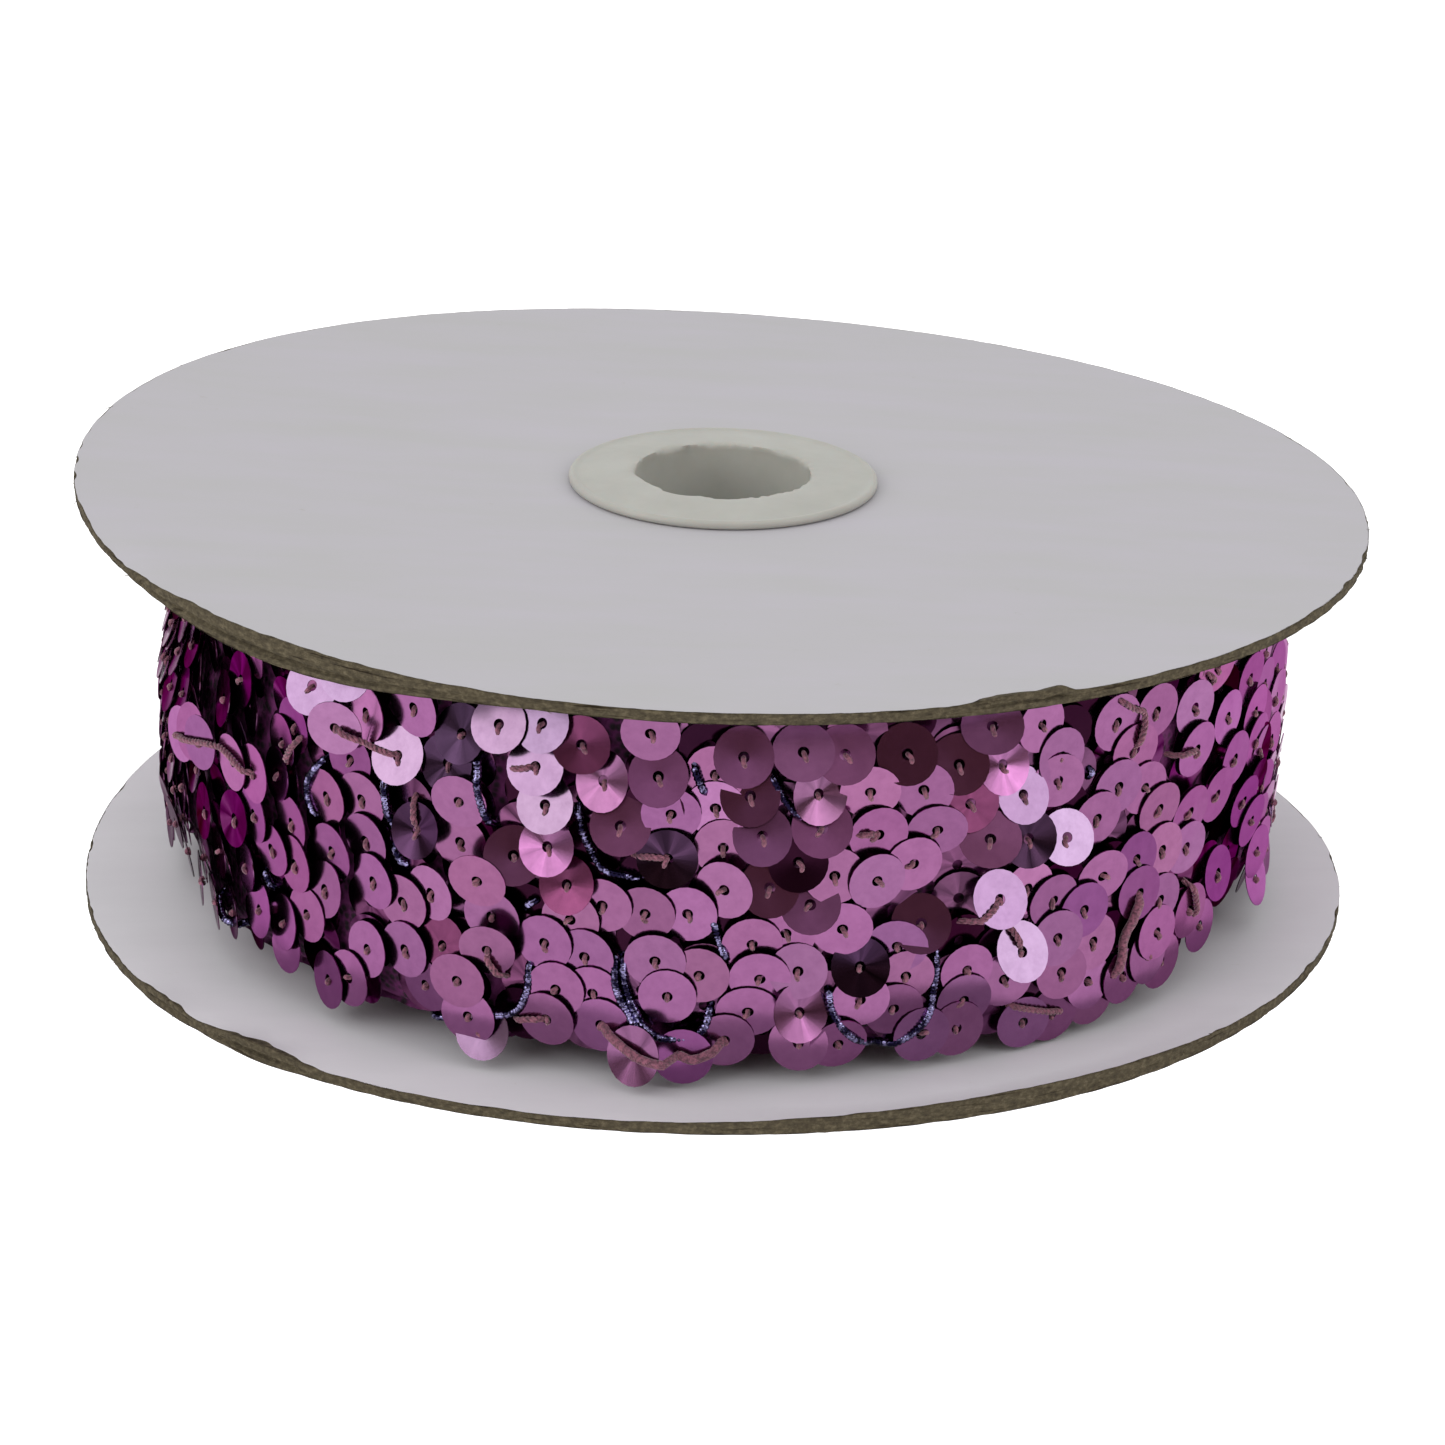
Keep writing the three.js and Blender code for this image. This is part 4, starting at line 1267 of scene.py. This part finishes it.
# The couched cords, the loose stitches and the thread ends at the tail: angles and heights
FRONT_GIMPS = [
    ((-22.2, 35.3), (-21.5, 30), (-20.6, 27.4)),
    ((-39.8, 30.5), (-42.7, 26), (-41.5, 22.8)),
    ((-32.2, 30.8), (-31.8, 26.2), (-30.6, 22.4), (-29.5, 21.2)),
    ((-12.7, 31.2), (-12.1, 27.8), (-10.1, 24.9), (-6.3, 23.7)),
    ((-17.9, 18.7), (-17.2, 19.9), (-16, 20.7)),
    ((-17.1, 14), (-17.3, 10.3), (-19, 7.6), (-23.7, 7.4)),
    ((-8.2, 15.8), (-7.8, 12), (-6.3, 8.7), (-3.9, 7.2), (-0.8, 7.8), (0.3, 11.2)),
    ((-8.9, 15.6), (-8.6, 12), (-7.3, 8.9), (-5.6, 7.4)),
    ((0.1, 20.3), (0.7, 17.8), (1.7, 15.3)),
    ((11, 12.8), (11.6, 9.5), (13.9, 6.6), (17, 5.3), (20.1, 7), (21.3, 10.3), (21.3, 16)),
    ((5, 35.7), (6.2, 33.2), (8.1, 30.7)),
    ((-2, 36.6), (-1.5, 34.8), (-0.6, 32.8)),
    ((37.4, 32.5), (37.6, 31.5), (37.4, 30.5)),
    ((-50, 15), (-49.2, 13.8), (-47.8, 12.8)),
    ((-59.6, 8.4), (-58, 6.6), (-55.6, 6.2), (-53.4, 7.2)),
    ((-29, 4.6), (-27.8, 4.4), (-26.5, 4.6)),
]
FRONT_STRANDS = [
    ((-37.0, 34.8), (-34.4, 33.8), (-30.4, 33.2)),
    ((-64.5, 24.6), (-60.4, 25.5), (-55, 26.6), (-49.6, 25.5)),
    ((-45, 28.2), (-43.8, 29.9), (-42.3, 32.2)),
    ((-29.2, 29.5), (-28.9, 27.6), (-28.5, 25.8)),
    ((-19, 6.8), (-17.1, 7.5), (-15.3, 7.8)),
    ((23.2, 18), (25.3, 19.2), (27.2, 20.5)),
    ((28.6, 17.4), (29.5, 15.9), (30.1, 14.3)),
    ((40.2, 38.9), (42.2, 37.4), (43.7, 36.4), (43.2, 32.6)),
    ((49.2, 29.9), (51.2, 29.9), (53.2, 29.7)),
    ((53.2, 15), (54.3, 12.6), (55, 10.2)),
    ((29.8, 7.6), (32.1, 6.8), (36.7, 5.3)),
    ((-7.5, 26.5), (-5.8, 26.7), (-4.1, 26.5)),
    ((12.8, 28.7), (14, 28.9), (15.2, 28.7)),
    ((-19.1, 34.1), (-17.8, 34.6), (-16.4, 34.9)),
    ((-21.1, 14.4), (-20.3, 12.8), (-19.5, 11.2)),
    ((54.2, 37.8), (55.1, 36.9), (55.8, 35.8)),
]
THICK_STRANDS = [
    ((-10.1, 7.8), (-8.2, 6.6), (-5.9, 5.7), (-2.8, 5.7), (-1.2, 5.3), (1.5, 6.8)),
    ((45.1, 16.4), (43.9, 13.7), (43, 10.3), (42.2, 7.8)),
]
TAIL_THREADS = [
    ((165.4, 34), (167.6, 32.6), (169.1, 28), (168.6, 22.5)),
    ((165.6, 20), (168, 19.2), (170.4, 15.8), (171.6, 11.5)),
    ((165.2, 11), (167, 9.2), (168.2, 7.4)),
]
GIMP_SHAPES = [
    ((0, 9), (0.3, 5.4), (2.4, 1.6), (5.6, 0.3), (8.8, 2.4), (9.4, 7.6)),
    ((0, 8), (-0.8, 4.4), (0.4, 0)),
    ((0, 6), (1.2, 2.6), (4.2, 0.5), (7.4, 0)),
    ((0, 4.6), (0.6, 2.2), (2.4, 0)),
]
STRAND_SHAPES = [
    ((0, 0), (4, 0.8), (8.4, 0.4)),
    ((0, 6), (1.6, 3.4), (3.6, 0)),
    ((0, 1.6), (2, 0.8), (4.2, 0)),
]


# The studio


@dataclass(frozen=True)
class Softbox:
    """A rectangular soft light, by where it stands as seen from the spool."""

    name: str
    azimuth: float
    elevation: float
    distance: float
    width: float
    height: float
    radiance: float

    def position(self) -> Array:
        """Where its middle is."""
        turn = math.radians(self.elevation)
        return place(self.azimuth, self.distance * math.cos(turn), self.distance * math.sin(turn))

    def build(self) -> None:
        """Adds the light, turned to the spool. Its power is pi times its area and radiance."""
        lamp = bpy.data.lights.new(self.name, "AREA")
        lamp.shape = "RECTANGLE"
        lamp.size = self.width * MM
        lamp.size_y = self.height * MM
        lamp.energy = math.pi * lamp.size * lamp.size_y * self.radiance
        holder = bpy.data.objects.new(self.name, lamp)
        where = Vector(self.position() * MM)
        turned = (-where).to_track_quat("-Z", "Y")
        holder.matrix_world = Matrix.LocRotScale(where, turned, None)
        bpy.context.scene.collection.objects.link(holder)


@dataclass(frozen=True)
class StudioCamera:
    """The camera, with its long lens, turned a little about its own axis."""

    position: tuple[float, float, float] = (0.0, -460.17, 197.05)
    target: tuple[float, float, float] = (0.645, 0.0, 18.476)
    roll: float = 1.547
    lens: float = 110.71
    sensor: float = 36.0

    def build(self) -> None:
        """Adds the camera. Its right and up are turned by the roll in its own plane."""
        ahead = unit(np.array(self.target) - self.position)
        right = unit(np.cross(ahead, [0, 0, 1]))
        up = np.cross(right, ahead)
        turn = math.radians(self.roll)
        axes = [math.cos(turn) * right + math.sin(turn) * up, math.cos(turn) * up - math.sin(turn) * right,
                -ahead]
        data = bpy.data.cameras.new("camera")
        data.lens = self.lens
        data.sensor_width = self.sensor
        data.clip_start = 0.01
        camera = bpy.data.objects.new("camera", data)
        placed = np.eye(4)
        placed[:3, :3] = np.stack(axes, axis=1)
        placed[:3, 3] = np.array(self.position) * MM
        camera.matrix_world = Matrix(placed.tolist())
        bpy.context.scene.collection.objects.link(camera)
        bpy.context.scene.camera = camera


CAMERA = StudioCamera()
SOFTBOXES = [
    Softbox("softbox_left", -58.0, 24.0, 1500.0, 1500.0, 800.0, 2.6),
    Softbox("softbox_right", 58.0, 24.0, 1500.0, 900.0, 700.0, 2.6),
]


@dataclass(frozen=True)
class Studio:
    """The table, the softboxes and the room: bright overhead and behind, dim near the camera."""

    table_side: float = 8000.0
    overhead: float = 0.85
    wall: str = "#756252"

    def build(self) -> None:
        """Adds the table, the lights and the world, and keeps the render's colours plain."""
        half = self.table_side / 2
        corners = np.array([[-half, -half, 0], [half, -half, 0], [half, half, 0], [-half, half, 0]], float)
        table = mesh_piece("table_top", corners, [np.array([[0, 1, 2, 3]])], [STUDIO_TABLE.build()])
        for softbox in SOFTBOXES:
            softbox.build()
        world = bpy.data.worlds.new("room")
        world.use_nodes = True
        tree = world.node_tree
        tree.nodes.clear()
        way = add_node(tree, "TexCoord").outputs["Generated"]
        parts = add_node(tree, "SeparateXYZ", links={0: way}).outputs
        shade = ramp(tree, parts["Z"], ((0.0, self.wall), (0.38, self.wall), (0.55, "#FFFFFF")))
        behind = ramp(tree, parts["Y"], ((0.0, "#000000"), (0.4, "#FFFFFF")))
        white = colour("#FFFFFF")
        mix = add_node(tree, "Mix", {"data_type": "RGBA", 7: white}, {0: behind, 6: shade})
        room = add_node(tree, "Background", {"Strength": self.overhead}, {"Color": mix.outputs[2]})
        paper = add_node(tree, "Background", {"Strength": 1.0, "Color": white})
        seen = add_node(tree, "LightPath").outputs["Is Camera Ray"]
        mixed = add_node(tree, "MixShader", links={0: seen, 1: room.outputs[0], 2: paper.outputs[0]})
        add_node(tree, "OutputWorld", links={"Surface": mixed.outputs[0]})
        bpy.context.scene.world = world
        bpy.context.scene.view_settings.view_transform = "Standard"


# The whole


def log_pieces(part: str, pieces: list[Object]) -> None:
    """Makes the pieces ride on the body and reports each."""
    for piece in pieces:
        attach(piece, BODY)
        LOG.info("%s: %s, %d faces", part, piece.name, len(piece.data.polygons))


def main() -> None:
    """Builds the studio, the spool and the wound trim, in that order."""
    logging.basicConfig(level=logging.INFO, format="%(message)s")
    CAMERA.build()
    Studio().build()
    coated, lightened_board, raw = COATED_BOARD.build(), LIGHTENED_COATED_BOARD.build(), RAW_BOARD_EDGE.build()
    lower = BoardDisc("lower_board", "lower_disc", LOWER_DISC_UNDERSIDE,
                      [Wave(2, 0.16, 1.1), Wave(3, 0.27, -0.45)],
                      [Swell(-41, 8, 0.6, 0.25, 1.6), Swell(-54.5, 6, 0.3, 0.1, 0.5, 0.2),
                       Swell(27, 38, 0.95, 0.0, 0.3, 0.1)], 11)
    upper = BoardDisc("upper_board", "upper_disc", UPPER_DISC_UNDERSIDE,
                      [Wave(1, 0.28, -1.65), Wave(2, -0.53, 0.5), Wave(3, 0.14, 0.07)],
                      [Swell(-38, 26, 0.1, 1.5, 0.3), Swell(-62, 13, -0.6, 0.0, 0.3, 0.0),
                       Swell(24.6, 6.6, 0.6, 0.0, 1.6, 0.3), Swell(28.2, 1.6, 0.55, 0.0, 0.9, 0.3)], 21)
    # the lower disc takes the board painted lighter, as painted light
    for disc, face in ((lower, lightened_board), (upper, coated)):
        log_pieces("spool", disc.build(face, raw))
    log_pieces("spool", MouldedHub().build(MILKY_POLYETHYLENE.build()))
    roll = WoundRoll(lower, upper)
    net, thread, foil = PLUM_NET.build(), PLY_THREAD.build(), GIMP_FOIL.build()
    films = [SEQUIN_FILM.build(), DARK_SEQUIN_FILM.build()]
    turns = roll.inner_turns(net)
    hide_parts("trim_roll")
    trim = [turns, roll.net_band(net)]
    sequins = SewnSequins(roll)
    sequins.settle()
    for layer, name in enumerate(("sequins_beneath", "sequins_rear", "sequins_front")):
        trim.append(sequins.washers(name, np.nonzero(sequins.layer == layer)[0], films))
    trim.append(sequins.stitches(thread))
    yarns = LaidYarns(sequins)
    gimps = yarns.front(FRONT_GIMPS) + yarns.scattered(GIMP_SHAPES, 9.0)
    strands = yarns.front(FRONT_STRANDS) + yarns.scattered(STRAND_SHAPES, 11.0)
    tails = [np.array(row, float) for row in TAIL_THREADS]
    trim.append(yarns.ribbed("gimp_cords", gimps, foil))
    trim.append(yarns.twisted("loose_stitches", strands + tails, 3, 0.17, thread))
    trim.append(yarns.twisted("heavy_stitches", yarns.front(THICK_STRANDS), 6, 0.19, thread))
    log_pieces("trim", trim)


if __name__ == "__main__":
    main()
